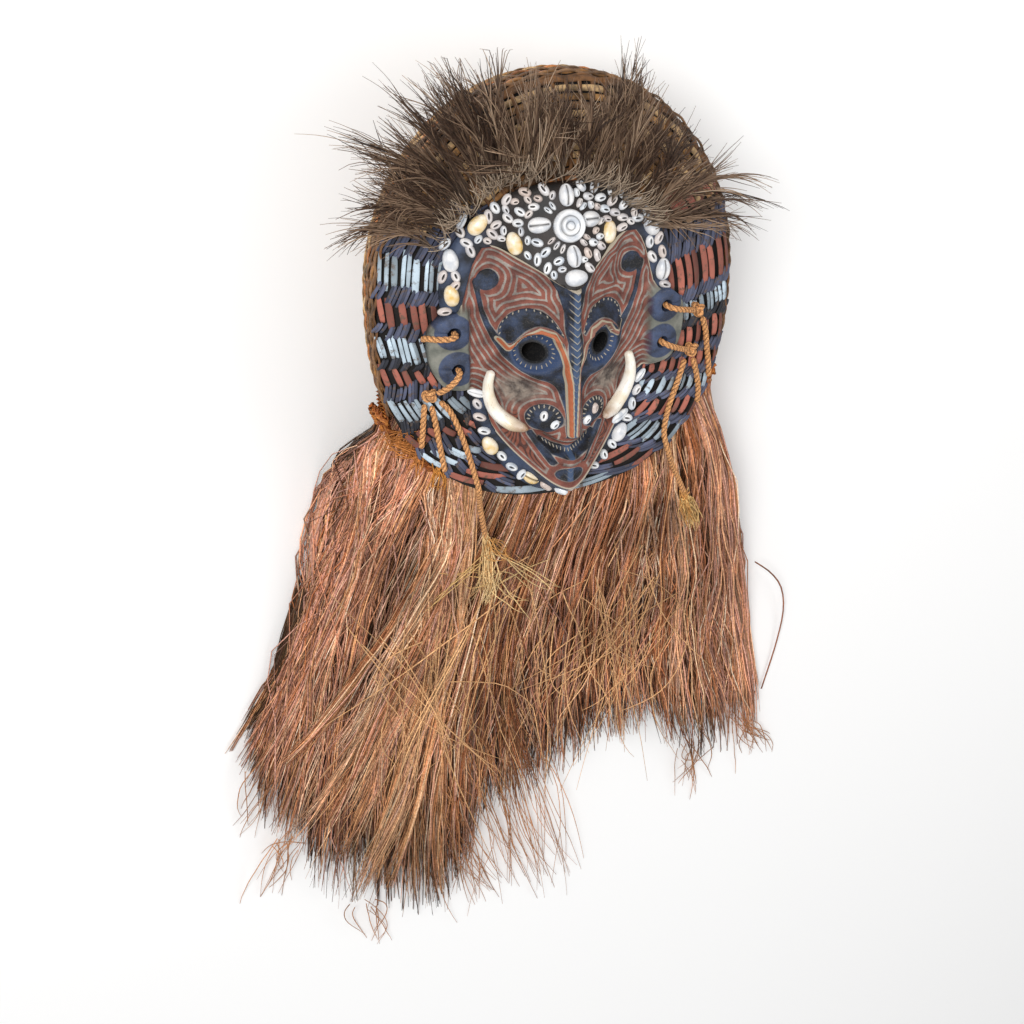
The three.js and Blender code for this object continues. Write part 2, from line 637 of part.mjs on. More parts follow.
// Knots where the ear cords divide into hanging strands
const knots = {
  ear_knot_left: [-117, -68, 192.5],
  ear_knot_right_upper: [138, -23, 191],
  ear_knot_right_lower: [133, -61, 191.5],
};
for (const [name, [x, y, z]] of Object.entries(knots)) {
  const lump = new THREE.SphereGeometry(1, 8, 5).scale(8, 7, 6.3).translate(x, y, z);
  add(name, geometryOf(solidOfGeometry(lump)), 'cord');
}

export default group;
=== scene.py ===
"""Basketry helmet mask with a carved face, lying on its back with its fibre skirt spread out below."""

import json
import math
import random

import bpy
import numpy as np
from mathutils import Matrix, Vector


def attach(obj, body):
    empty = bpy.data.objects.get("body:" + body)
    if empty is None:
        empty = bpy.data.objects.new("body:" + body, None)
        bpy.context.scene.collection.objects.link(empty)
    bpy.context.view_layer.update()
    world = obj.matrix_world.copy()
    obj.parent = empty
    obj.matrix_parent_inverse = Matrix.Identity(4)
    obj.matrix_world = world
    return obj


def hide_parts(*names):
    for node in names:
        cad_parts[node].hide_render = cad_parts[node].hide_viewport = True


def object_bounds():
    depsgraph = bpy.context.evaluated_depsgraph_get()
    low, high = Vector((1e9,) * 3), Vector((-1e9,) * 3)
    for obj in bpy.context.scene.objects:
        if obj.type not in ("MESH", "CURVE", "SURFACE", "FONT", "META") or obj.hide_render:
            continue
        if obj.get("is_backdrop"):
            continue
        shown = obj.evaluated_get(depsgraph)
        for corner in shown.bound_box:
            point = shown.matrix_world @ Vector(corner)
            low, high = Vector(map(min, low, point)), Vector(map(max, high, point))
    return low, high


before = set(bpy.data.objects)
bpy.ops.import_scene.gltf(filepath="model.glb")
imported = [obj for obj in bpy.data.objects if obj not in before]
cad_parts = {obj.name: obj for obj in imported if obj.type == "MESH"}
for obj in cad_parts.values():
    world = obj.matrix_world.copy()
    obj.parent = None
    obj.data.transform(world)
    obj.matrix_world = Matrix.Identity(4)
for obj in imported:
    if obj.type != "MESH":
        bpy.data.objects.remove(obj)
cad_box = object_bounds()


# Camera, floor and light
# The camera stands above the crown and a little to the mask's left, as the photographer did. The
# floor is a pale board under soft overhead light, and is no part of the mask.

VIEW_RISE = math.radians(29)
VIEW_SIDE = math.radians(20)
VIEW_AIM = Vector((0, -0.264, 0.080))
VIEW_DISTANCE = 1.7
LENS = 36 * 1700 / 1024

towards = Vector((
    -math.sin(VIEW_SIDE) * math.cos(VIEW_RISE),
    math.sin(VIEW_RISE),
    math.cos(VIEW_SIDE) * math.cos(VIEW_RISE),
))
to_right = Vector((math.cos(VIEW_SIDE), 0, math.sin(VIEW_SIDE)))
to_top = towards.cross(to_right)

bpy.ops.object.camera_add()
camera = bpy.context.object
camera.data.lens = LENS
turn = Matrix((to_right, to_top, towards)).transposed().to_4x4()
camera.matrix_world = Matrix.Translation(VIEW_AIM + towards * VIEW_DISTANCE) @ turn
bpy.context.scene.camera = camera


def linear(hex_colour):
    """A #rrggbb colour as the linear values that a shader takes"""
    parts = [int(hex_colour[i:i + 2], 16) / 255 for i in (1, 3, 5)]
    return [p / 12.92 if p <= 0.04045 else ((p + 0.055) / 1.055) ** 2.4 for p in parts] + [1]


def new_material(name):
    """A node material, and the function that adds nodes to it"""
    material = bpy.data.materials.new(name)
    material.use_nodes = True
    tree = material.node_tree

    def add(kind, *values, out=0, **named):
        """Adds a node and gives one of its outputs, by place or name. Values fill its inputs in order,
        and names its inputs or its settings. Text is a #rrggbb colour or a measure stored on the mesh."""
        made = tree.nodes["Principled BSDF"] if kind == "Surface" else tree.nodes.new("ShaderNode" + kind)
        inputs = {}
        for key, value in named.items():
            if key.replace("_", " ") in made.inputs:
                inputs[made.inputs[key.replace("_", " ")]] = value
            else:
                setattr(made, key, value)
        inputs.update(zip([socket for socket in made.inputs if socket.enabled], values))
        for socket, value in inputs.items():
            if isinstance(value, str):
                is_colour = value[0] == "#"
                value = linear(value) if is_colour else add("Attribute", attribute_name=value, out="Fac")
            if isinstance(value, bpy.types.NodeSocket):
                tree.links.new(value, socket)
            else:
                socket.default_value = value
        return made.outputs[out] if isinstance(out, str) else [s for s in made.outputs if s.enabled][out]

    return material, add


board, add = new_material("matt_white_board")
add("Surface", Base_Color="#f4f3f1", Roughness=0.95)
bpy.ops.mesh.primitive_plane_add(size=12, location=(0, -0.3, -0.0005))
floor = bpy.context.object
floor.name = "floor"
floor.data.materials.append(board)
floor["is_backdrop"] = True

bpy.context.scene.view_settings.view_transform = "Standard"

world = bpy.data.worlds.new("soft_room")
bpy.context.scene.world = world
world.use_nodes = True
world.node_tree.nodes["Background"].inputs["Color"].default_value = linear("#f5f7fb")
world.node_tree.nodes["Background"].inputs["Strength"].default_value = 0.46

LAMP_AIM = Vector((0, -0.2, 0.1))
LAMPS = {
    "key_lamp": ((-1.2, 1.0, 2.2), 0.9, 60),
    "fill_lamp": ((1.5, 0.2, 1.9), 1.4, 13),
    "low_lamp": ((0.2, -2.2, 1.5), 1.4, 8),
}
for name, (place, size, watts) in LAMPS.items():
    bpy.ops.object.light_add(type="AREA", location=place)
    lamp = bpy.context.object
    lamp.name = name
    lamp.data.size = size
    lamp.data.energy = watts
    lamp.rotation_euler = (LAMP_AIM - Vector(place)).to_track_quat("-Z", "Y").to_euler()


# Ear cords
# Three-ply cord of twisted bark fibre, 6 mm thick, dyed orange. It goes through the holes of the
# ear plates, over their edge to a knot, and hangs from there in strands with frayed ends.

CORD_SEEN = 0.0053                   # a pulled cord, between its plies' grooves and their backs
CORD_PLIES = 3
CORD_LAY = 0.016                     # one full turn of the plies
CORD_STEP = 0.0013
CORD_SIDES = 15
MM = 0.001

# Routes in millimetres
CORD_ROUTES = {
    "ear_cord_left_upper": [
        (-98, -7, 203), (-98.5, -7, 212), (-103, -7, 215.5), (-110, -7.5, 214), (-117, -8.5, 208.5),
        (-121.5, -10, 201), (-122.5, -14, 192.5)],
    "ear_cord_left_lower": [
        (-95, -41, 203), (-95.5, -42, 212), (-99, -46, 214.5), (-105, -53, 212), (-110, -59, 206),
        (-112.5, -62.5, 200.5)],
    "ear_strand_left_1": [(-121, -77, 189), (-122, -92, 188), (-123, -108, 187), (-124, -121, 186)],
    "ear_strand_left_2": [
        (-115, -79, 190), (-112, -95, 190.5), (-109, -115, 190.5), (-106, -133, 190.5), (-104, -146, 190)],
    "ear_strand_left_3": [
        (-108, -75, 192), (-100, -84, 193), (-92, -102, 194.5), (-84, -127, 195), (-78, -150, 195.5),
        (-74, -166, 195.5), (-72, -176, 191), (-69, -187, 183), (-66, -199, 176), (-61, -218, 168),
        (-53, -253, 154.5), (-47, -280, 142), (-41, -308, 129)],
    "ear_cord_right_upper": [
        (98, -7, 203), (98.5, -7, 212), (102, -8, 215.5), (110, -11, 213.5), (118, -14, 209),
        (126, -18, 202.5), (131, -20, 198)],
    "ear_cord_right_lower": [
        (95, -41, 203), (95, -41, 212), (99, -43, 214.5), (106, -47, 212), (113, -51, 207.5),
        (120, -55, 202), (126, -58, 197.5)],
    "ear_strand_right_1": [
        (128, -71, 190), (121, -93, 191), (113, -118, 191.5), (110, -142, 191.5), (113, -156, 191.5),
        (117, -166, 189), (122, -177, 184), (128, -189, 178.5), (141, -213, 169), (157, -245, 155.5)],
    "ear_strand_right_2": [(137, -72, 188), (143, -90, 185.5), (147, -108, 183), (147, -121, 182)],
    "ear_strand_right_3": [
        (145, -33, 187), (150, -48, 185), (153, -65, 183.5), (157, -84, 181), (159, -98, 179)],
}

# Each knot's place in metres and its turn about the upright axis
KNOTS = {
    "ear_knot_left": ((-0.117, -0.068, 0.1925), 0.4),
    "ear_knot_right_upper": ((0.138, -0.023, 0.191), 2.0),
    "ear_knot_right_lower": ((0.133, -0.061, 0.1915), 4.1),
}


def run_along(line):
    """How far along a line each of its points is"""
    return np.concatenate([[0], np.cumsum(np.linalg.norm(np.diff(line, axis=0), axis=1))])


def smooth_line(points, step):
    """Points a step apart along a centripetal curve through the given ones, as the solids use"""
    p = [np.array(q, float) for q in points]
    p = [2 * p[0] - p[1]] + p + [2 * p[-1] - p[-2]]
    fine = []
    for a, b, c, d in zip(p, p[1:], p[2:], p[3:]):
        t1 = np.linalg.norm(b - a) ** 0.5
        t2 = t1 + np.linalg.norm(c - b) ** 0.5
        t3 = t2 + np.linalg.norm(d - c) ** 0.5
        t = np.linspace(t1, t2, 24, endpoint=False)[:, None]
        ab = (t1 - t) / t1 * a + t / t1 * b
        bc = (t2 - t) / (t2 - t1) * b + (t - t1) / (t2 - t1) * c
        cd = (t3 - t) / (t3 - t2) * c + (t - t2) / (t3 - t2) * d
        abc = (t2 - t) / t2 * ab + t / t2 * bc
        bcd = (t3 - t) / (t3 - t1) * bc + (t - t1) / (t3 - t1) * cd
        fine.append((t2 - t) / (t2 - t1) * abc + (t - t1) / (t2 - t1) * bcd)
    fine = np.vstack(fine + [p[-2][None]])
    run = run_along(fine)
    count = max(int(round(run[-1] / step)), 3)
    at = np.linspace(0, run[-1], count + 1)
    return np.stack([np.interp(at, run, fine[:, k]) for k in range(3)], axis=1), run[-1]


def frames_along(line, closed=False):
    """Unit tangent and two cross directions at each point of a line, carried without twist"""
    ahead = np.gradient(line, axis=0)
    if closed:
        ahead = np.roll(line, -1, axis=0) - np.roll(line, 1, axis=0)
    ahead /= np.linalg.norm(ahead, axis=1)[:, None]
    side = np.cross(ahead[0], (0.3, 0.2, 1.0))
    sides = []
    for tangent in ahead:
        side = side - tangent * (side @ tangent)
        side = side / np.linalg.norm(side)
        sides.append(side)
    sides = np.array(sides)
    return ahead, sides, np.cross(ahead, sides)


def mesh_piece(name, points, faces, material=None):
    """A smooth mesh object from points in metres and faces"""
    mesh = bpy.data.meshes.new(name)
    faces = np.asarray(faces)
    mesh.vertices.add(len(points))
    mesh.vertices.foreach_set("co", np.asarray(points, np.float32).ravel())
    mesh.loops.add(faces.size)
    mesh.loops.foreach_set("vertex_index", faces.astype(np.int32).ravel())
    mesh.polygons.add(len(faces))
    mesh.polygons.foreach_set("loop_start", np.arange(0, faces.size, faces.shape[1], dtype=np.int32))
    mesh.polygons.foreach_set("use_smooth", np.full(len(faces), True))
    mesh.update(calc_edges=True)
    mesh.validate()
    piece = bpy.data.objects.new(name, mesh)
    bpy.context.scene.collection.objects.link(piece)
    if material:
        mesh.materials.append(material)
    return piece


def tube_triangles(tubes, rings, sides):
    """Outward triangles of so many tubes of rings, with both ends of each closed"""
    first = (np.arange(tubes) * rings * sides)[:, None, None]
    at = first + (np.arange(rings - 1) * sides)[None, :, None]
    here = np.arange(sides)[None, None, :]
    there = (here + 1) % sides
    a, b, c, d = at + here, at + there, at + sides + there, at + sides + here
    walls = [np.stack([a, b, c], -1).reshape(-1, 3), np.stack([a, c, d], -1).reshape(-1, 3)]
    fan = np.arange(1, sides - 1)[None, :]
    start = first[:, 0]
    end = start + (rings - 1) * sides
    caps = [np.stack([start + 0 * fan, start + fan + 1, start + fan], -1).reshape(-1, 3),
            np.stack([end + 0 * fan, end + fan, end + fan + 1], -1).reshape(-1, 3)]
    return np.concatenate(walls + caps)


def paint(piece, name, colours):
    """Stores a colour at each point of a mesh, for its material to read"""
    layer = piece.data.color_attributes.new(name, "FLOAT_COLOR", "POINT")
    layer.data.foreach_set("color", np.asarray(colours, np.float32).ravel())


def measure(piece, name, values):
    """Stores a number at each point of a mesh, for its material to read"""
    layer = piece.data.attributes.new(name, "FLOAT", "POINT")
    layer.data.foreach_set("value", np.asarray(values, np.float32).ravel())


def fit_piece(piece, stands_for=None):
    """Gives a piece its body, and hides the solid that it replaces"""
    if stands_for:
        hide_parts(stands_for)
    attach(piece, "root")


def rope_piece(name, line, first_turn, stands_for):
    """One plied cord as a closed mesh, with the ply grooves winding round it and their depth stored"""
    _, side, over = frames_along(line)
    run = run_along(line)
    around = np.linspace(0, 2 * np.pi, CORD_SIDES, endpoint=False)
    wound = around[None, :] - 2 * np.pi * run[:, None] / CORD_LAY + first_turn
    ply = np.abs(np.cos(CORD_PLIES / 2 * wound))
    ends = np.clip(np.minimum(run, run[-1] - run) / (CORD_SEEN * 0.5), 0, 1)
    radius = CORD_SEEN / 2 * (0.74 + 0.30 * ply ** 0.75) * (0.35 + 0.65 * np.sqrt(ends))[:, None]
    ring = line[:, None] + side[:, None] * (radius * np.cos(around))[..., None]
    ring = ring + over[:, None] * (radius * np.sin(around))[..., None]
    piece = mesh_piece(name, ring.reshape(-1, 3), tube_triangles(1, len(line), CORD_SIDES), cord_finish)
    measure(piece, "ply", ply)
    fit_piece(piece, stands_for)
    return piece


cord_finish, add = new_material("twisted_bark_cord")
hairs = add("TexNoise", Vector=add("TexCoord", out="Object"), Scale=900.0, Detail=3.0)
# The plies' grooves are painted darker than their backs: painted shade.
depth = add("Mix", add("MapRange", "ply", 0.0, 0.75), "#63381a", "#dca068", data_type="RGBA")
tone = add("Mix", add("MapRange", hairs, 0.35, 0.65), "#8d8d8d", (1.25, 1.2, 1.1, 1), data_type="RGBA")
add("Surface", Base_Color=add("Mix", 0.8, depth, tone, data_type="RGBA", blend_type="MULTIPLY"),
    Roughness=0.85, Normal=add("Bump", Strength=0.5, Distance=0.0004, Height=hairs))

cords = {}
for first_turn, (name, route) in enumerate(CORD_ROUTES.items()):
    line, length = smooth_line(np.array(route) * MM, CORD_STEP)
    cords[name] = rope_piece(name.replace("ear_", "twisted_ear_"), line, first_turn, name), line, length

# A knot is a trefoil of the same cord
for name, (place, turned) in KNOTS.items():
    t = np.linspace(0, 2 * np.pi, 72)
    x, y = (np.sin(t) + 2 * np.sin(2 * t)) * 0.0017, (np.cos(t) - 2 * np.cos(2 * t)) * 0.00137
    line = np.array(place) + np.stack([
        x * math.cos(turned) - y * math.sin(turned), x * math.sin(turned) + y * math.cos(turned),
        -np.sin(3 * t) * 0.0030], axis=1)
    rope_piece(name.replace("ear_", "tied_ear_"), line, turned, name)


def declare_cord(name, exit_point=None):
    piece, line, length = cords[name]
    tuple(exit_point or line[0].tolist())


declare_cord("ear_cord_left_upper")
for end in ("left", "right_upper", "right_lower"):
    name = "ear_cord_left_lower" if end == "left" else "ear_cord_" + end
    declare_cord(name)
for knot, strands in (("left", ("left_1", "left_2", "left_3")), ("right_lower", ("right_1", "right_2")),
                      ("right_upper", ("right_3",))):
    for strand in strands:
        declare_cord("ear_strand_" + strand, exit_point=KNOTS["ear_knot_" + knot][0])


# Woven helmet
# One basket of split cane: radial stakes with flat strips woven round them, hollow, open below.
# The front shield is painted in bands, and the crown and the back of the hood are left bare.
# Plans and heights from here on are in millimetres, as in the solids, and a mesh is in metres.

HELMET_X, HALF_WIDTH = 10, 168
CROWN, BIB, BIB_CURVE = 195, 180, 2.6
WIDEST, SHIELD_RISE, RIM_BAND, HOOD_DEPTH = 165, 33, 3, 166
SHIELD_REACH, HOOD_REACH = 300, 330
HOOD_RIM = -95
EYE_X, EYE_Y, EYE_OPENING = 31, -28, 10
WALL, CORE_DEPTH = 8, 3.0            # the strips stand core_depth proud of the core
STRIP_PITCH, STRIP_WIDTH, STRIP_THICK = 9.0, 6.9, 1.5


def bump(distance, radius):
    return np.exp(-np.abs(distance / radius) ** 4)


def ease(value, low, high):
    t = np.clip((value - low) / (high - low), 0, 1)
    return t * t * (3 - 2 * t)


def unit(vectors, least=0.0):
    """Vectors along the last axis, made one long"""
    return vectors / (np.linalg.norm(vectors, axis=-1)[..., None] + least)


def shield_top(x, y, wall=0):
    """Height of the front shield's outer face over the plan"""
    reach = np.where(y > 0, CROWN - wall, SHIELD_REACH)
    side = (HALF_WIDTH - wall) * np.sqrt(np.clip(1 - (y / reach) ** 2, 0, 1))
    across = np.clip(1 - ((x - HELMET_X) / np.maximum(side, 1)) ** 2, 0, 1)
    along = np.where(y > 0, np.sqrt(np.clip(1 - (y / reach) ** 2, 0, 1)), 1)
    return WIDEST - wall + RIM_BAND + (SHIELD_RISE - RIM_BAND) * along * across ** 0.65


def hood_back(x, y, wall=0):
    """Height of the hood's outer face, which is its underside as it lies"""
    up = np.sqrt(np.clip(1 - (y / (CROWN - wall)) ** 2, 0, 1))
    down = np.clip(1 - np.clip(-y / (BIB + wall), 0, 1) ** BIB_CURVE, 0, 1) ** (1 / BIB_CURVE)
    half_width = (HALF_WIDTH - wall) * np.where(y > 0, up, down)
    across = np.clip(1 - ((x - HELMET_X) / np.maximum(half_width, 1)) ** 2, 0, 1)
    along = np.clip(1 - (y / np.where(y > 0, CROWN - wall, HOOD_REACH)) ** 2, 0, 1)
    return np.maximum(WIDEST - RIM_BAND - HOOD_DEPTH * np.sqrt(along * across), 0) + wall


def helmet_reach(angle, wall=0):
    """Distance from the basket's middle to its edge in plan"""
    c = np.abs(np.cos(angle)) / (HALF_WIDTH - wall)
    s = np.sin(angle)
    up = 1 / np.hypot(c, s / (CROWN - wall))
    down = (c ** BIB_CURVE + np.abs(s / (BIB + wall)) ** BIB_CURVE) ** (-1 / BIB_CURVE)
    return np.where(s >= 0, up, down)


def helmet_places(angle, share):
    """Plan places at a share of the way from the basket's middle to its edge"""
    reach = helmet_reach(angle) * share
    return HELMET_X + reach * np.cos(angle), reach * np.sin(angle)


def block_piece(name, middle, reach, spokes, rings, top, bottom, material=None, under_rings=None):
    """A closed block over a plan of spokes and rings, with its own heights above and below"""
    points, faces = [], []
    angle = np.linspace(0, 2 * np.pi, spokes, endpoint=False)
    here = np.arange(spokes)
    there = (here + 1) % spokes
    rims = []
    for height, shares in ((top, rings), (bottom, rings if under_rings is None else under_rings)):
        first = sum(len(p) for p in points)
        out = shares[:, None] * reach(angle)
        x = np.append(middle[0], (middle[0] + out * np.cos(angle)).ravel())
        y = np.append(middle[1], (middle[1] + out * np.sin(angle)).ravel())
        points.append(np.stack([x, y, height(x, y)], 1))
        disc = [np.stack([0 * here, 1 + here, 1 + there], 1)]
        for ring in range(len(shares) - 1):
            a, b = 1 + ring * spokes + here, 1 + ring * spokes + there
            disc += [np.stack([a, a + spokes, b + spokes], 1), np.stack([a, b + spokes, b], 1)]
        disc = np.concatenate(disc) + first
        faces.append(disc[:, ::-1] if first else disc)
        rims.append(first + len(x) - spokes)
    over, under = rims
    faces.append(np.stack([over + here, under + here, under + there], 1))
    faces.append(np.stack([over + here, under + there, over + there], 1))
    return mesh_piece(name, np.concatenate(points) * MM, np.concatenate(faces), material)


def cut_away(piece, cutter):
    """Takes one solid out of another for good"""
    cut = piece.modifiers.new("cut", "BOOLEAN")
    cut.operation = "DIFFERENCE"
    cut.solver = "EXACT"
    cut.object = cutter
    bpy.ops.object.select_all(action="DESELECT")
    bpy.context.view_layer.objects.active = piece
    bpy.ops.object.modifier_apply(modifier=cut.name)
    bpy.data.objects.remove(cutter)


def drill(piece, x, y, radius, low, high):
    """Takes an upright round hole out of a piece"""
    bpy.ops.mesh.primitive_cylinder_add(
        vertices=32, radius=radius * MM, depth=(high - low) * MM,
        location=(x * MM, y * MM, (high + low) / 2 * MM))
    cut_away(piece, bpy.context.object)


def saw_off(piece, middle, size):
    """Takes a box out of a piece, with its middle and size in metres"""
    bpy.ops.mesh.primitive_cube_add(size=1, location=middle)
    waste = bpy.context.object
    waste.scale = size
    bpy.ops.object.transform_apply(location=False, rotation=False, scale=True)
    cut_away(piece, waste)


# The core under the strips is near black: painted shade in the gaps of the weave.
dark_cane, add = new_material("cane_core_dark_as_shade")
grain = add("TexNoise", Vector=add("TexCoord", out="Object"), Scale=140.0, Detail=4.0)
add("Surface", Base_Color=add("Mix", grain, "#050404", "#1e1712", data_type="RGBA"), Roughness=0.9,
    Normal=add("Bump", Strength=0.6, Distance=0.001, Height=grain))


def basket_body(name, wall):
    return block_piece(
        name, (HELMET_X, 0), lambda angle: helmet_reach(angle, wall), 96,
        np.sin(np.linspace(0, np.pi / 2, 19))[1:],
        lambda x, y: shield_top(x, y, wall), lambda x, y: hood_back(x, y, wall), dark_cane)


core = basket_body("helmet_core", CORE_DEPTH)
cut_away(core, basket_body("core_hollow", WALL))
saw_off(core, (0, (HOOD_RIM - 150) * MM, 0.054), (0.6, 0.3, 0.208))
for side in (-1, 1):
    drill(core, side * EYE_X, EYE_Y, EYE_OPENING, 165, 260)
fit_piece(core, "helmet_basket")


def surface_normals(height, x, y, up=1):
    """Unit normals of a height function at plan points"""
    step = 0.8
    dx = (height(x + step, y) - height(x - step, y)) / (2 * step)
    dy = (height(x, y + step) - height(x, y - step)) / (2 * step)
    return unit(np.stack([-dx, -dy, np.ones_like(dx)], -1) * up)


def strip_rings(path, lift, side, widths, thick, sides=8):
    """Rings of flat strips: path, lift and side are points and directions along each"""
    around = np.linspace(0, 2 * np.pi, sides, endpoint=False) + np.pi / sides
    flat = np.sign(np.cos(around)) * np.abs(np.cos(around)) ** 0.6
    high = thick / 2 * np.sign(np.sin(around)) * np.abs(np.sin(around)) ** 0.8
    across = (widths[..., None] / 2 * flat)[..., None]
    return path[..., None, :] + side[..., None, :] * across + lift[..., None, :] * high[:, None]


# The bands of paint down the left and the right of the shield: where each begins, in millimetres
# up the plan, and its paint. The dark bands lean the other way, which gives the herringbone.
PAINTS = {
    "pale": "#adbcc6", "slate": "#4b4f63", "red": "#98594a", "black": "#2b2d36", "bare": "#8c6d50"}
BANDS_LEFT = [
    (112, "slate"), (98, "bare"), (86, "slate"), (57, "pale"), (30, "slate"), (17, "red"), (-6, "slate"),
    (-17, "pale"), (-38, "black"), (-46, "red"), (-62, "slate"), (-76, "pale"), (-99, "black"),
    (-109, "red"), (-124, "slate"), (-136, "pale"), (-153, "slate"), (-163, "red"), (-184, "slate"),
    (-194, "pale"), (-214, "black"), (-224, "red"), (-240, "slate")]
BANDS_RIGHT = [
    (112, "bare"), (98, "red"), (76, "bare"), (64, "slate"), (50, "slate"), (37, "red"), (0, "slate"),
    (-12, "pale"), (-28, "black"), (-38, "red"), (-58, "slate"), (-70, "red"), (-84, "slate"),
    (-94, "pale"), (-109, "slate"), (-119, "red"), (-136, "slate"), (-147, "pale"), (-166, "slate"),
    (-176, "red"), (-192, "slate"), (-204, "pale"), (-222, "slate")]
LAST_BAND = 14
BAND_RAGGED = 3.2
LEAN = 1.9
DARK_LEAN = 2.85
# A band's strips side by side: how far apart they lie, and their share of a strip's width
DARK_STRIPS, DARK_WIDTH = (-2.7, 0, 2.7), 0.47
HALF_STRIPS, HALF_STRIP_WIDTH = (-1.9, 1.9), 0.58
WHOLE_STRIP, WHOLE_WIDTH = (0,), 0.98

band_random = random.Random(11)
BED_OUTLINE = [
    (0, 112), (38, 108), (70, 90), (92, 69), (103, 46), (106, 22), (103, 0), (92, -40), (82, -70),
    (79, -92), (72, -114), (60, -134), (44, -154), (24, -170), (0, -177)]
FACE_OUTLINE = [
    (0, 31), (27, 46), (44, 56), (58, 64), (69, 65), (79, 50), (86, 26), (92, 9), (104, 6),
    (116, -7), (118, -26), (114, -46), (105, -59), (92, -63), (80, -64), (71, -74), (64, -100),
    (50, -121), (30, -142), (13, -156), (0, -160)]
BED_MIDDLE, FACE_MIDDLE = (0, -30), (0, -40)


def outline_reach(half, middle):
    """Distance from a middle to a mirrored outline, as a function of the angle"""
    ring = [(x, y, 0) for x, y in half + [(-x, y) for x, y in half[-2:0:-1]]]
    line, _ = smooth_line(ring[-3:] + ring + ring[:3], 0.8)
    dx, dy = line[:, 0] - middle[0], line[:, 1] - middle[1]
    angle = np.arctan2(dy, dx)
    order = np.argsort(angle)
    angle, reach = angle[order], np.hypot(dx, dy)[order]
    return lambda wanted: np.interp(
        np.arctan2(np.sin(wanted), np.cos(wanted)), angle, reach, period=2 * np.pi)


face_reach = outline_reach(FACE_OUTLINE, FACE_MIDDLE)
bed_reach = outline_reach(BED_OUTLINE, BED_MIDDLE)


def past_edge(x, y, reach, middle):
    """How far out of an outline a place in plan is, below nothing inside it"""
    dx, dy = x - middle[0], y - middle[1]
    return np.hypot(dx, dy) - reach(np.arctan2(dy, dx))


def past_bed(x, y):
    return past_edge(x, y, bed_reach, BED_MIDDLE)


def past_face(x, y):
    return past_edge(x, y, face_reach, FACE_MIDDLE)


def band_level(x, y):
    """Which level down the side a place on the shield belongs to: the bands dip like smiles"""
    tilt = np.interp(y, [-130, -90, -50, 20], [0.30, 0.15, -0.12, -0.20])
    return y - tilt * (HALF_WIDTH - 21 - np.abs(x - HELMET_X))


def weave_band(at, share, side, paint_name):
    """The strips of one band in one row: each one's path, widths, paint and luck"""
    strips = []
    t = np.linspace(0, 1, 8)
    at = at[0] + (at[-1] - at[0]) * (t * 1.2 - 0.1)
    is_dark = paint_name in ("slate", "black")
    shifts, width = WHOLE_STRIP, WHOLE_WIDTH
    if is_dark:
        shifts, width = DARK_STRIPS, DARK_WIDTH
    elif paint_name == "pale" and band_random.random() < 0.55:
        shifts, width = HALF_STRIPS, HALF_STRIP_WIDTH
    for shift in shifts:
        lean = DARK_LEAN * (1 - 2 * t) if is_dark else LEAN * (2 * t - 1)
        lean = lean + shift + band_random.uniform(-1.2, 1.2)
        outward = helmet_reach(at) * share + lean * side
        x, y = HELMET_X + outward * np.cos(at), outward * np.sin(at)
        tuck = 1.5 * np.sin(np.pi * t) ** 0.6 - 1.1 + (0.7 if is_dark and shift * side > 0 else 0)
        z = shield_top(x, y) + tuck + band_random.uniform(-0.3, 0.4)
        ends = 0.55 + 0.45 * np.sin(np.pi * (t * 0.9 + 0.05)) ** 0.4
        widths = STRIP_WIDTH * width * band_random.uniform(0.85, 1.05) * ends
        strips.append((np.stack([x, y, z], 1), widths, paint_name, band_random.random()))
    return strips


def weave_front():
    """Every painted strip of the shield, row by row from the rim inwards"""
    strips = []
    for side, bands in ((-1, BANDS_LEFT), (1, BANDS_RIGHT)):
        ends = [start for start, _ in bands[1:]] + [bands[-1][0] - LAST_BAND]
        for row in range(11):
            share = 1 - (row * STRIP_PITCH + 4.2) / HALF_WIDTH
            angle = np.linspace(np.pi / 2, np.pi / 2 - side * np.pi, 1400)
            x, y = helmet_places(angle, share)
            level = band_level(x, y)
            for (start, paint_name), end in zip(bands, ends):
                below = level < start + band_random.uniform(-BAND_RAGGED, BAND_RAGGED)
                above = level > end + band_random.uniform(-BAND_RAGGED, BAND_RAGGED)
                found = np.nonzero(below & above)[0]
                if len(found) < 8 or y[found[0]] > 104:
                    continue
                mid = found[len(found) // 2]
                if past_bed(x[mid], y[mid]) >= -3 and past_face(x[mid], y[mid]) >= -3:
                    strips += weave_band(angle[found], share, side, paint_name)
    return strips


painted_cane, add = new_material("earth_painted_split_cane")
spots = add("TexCoord", out="Object")
wear = add("TexNoise", Vector=spots, Scale=170.0, Detail=5.0, Roughness=0.65)
broad = add("TexNoise", Vector=spots, Scale=45.0, Detail=2.0)
own = add("Attribute", attribute_name="strip_paint", out="Color")
shade = add("Math", add("MapRange", broad, 0.3, 0.7, 0.72, 1.15),
            add("MapRange", own.node.outputs["Alpha"], 0.0, 1.0, 0.45, 1.35), operation="MULTIPLY")
painted = add("VectorMath", own, shade, operation="SCALE")
chips = add("MapRange", wear, 0.54, 0.64, 0.0, 0.8)
add("Surface", Base_Color=add("Mix", chips, painted, "#5b4a3c", data_type="RGBA"), Roughness=0.78,
    Normal=add("Bump", Strength=0.5, Distance=0.0006, Height=wear))

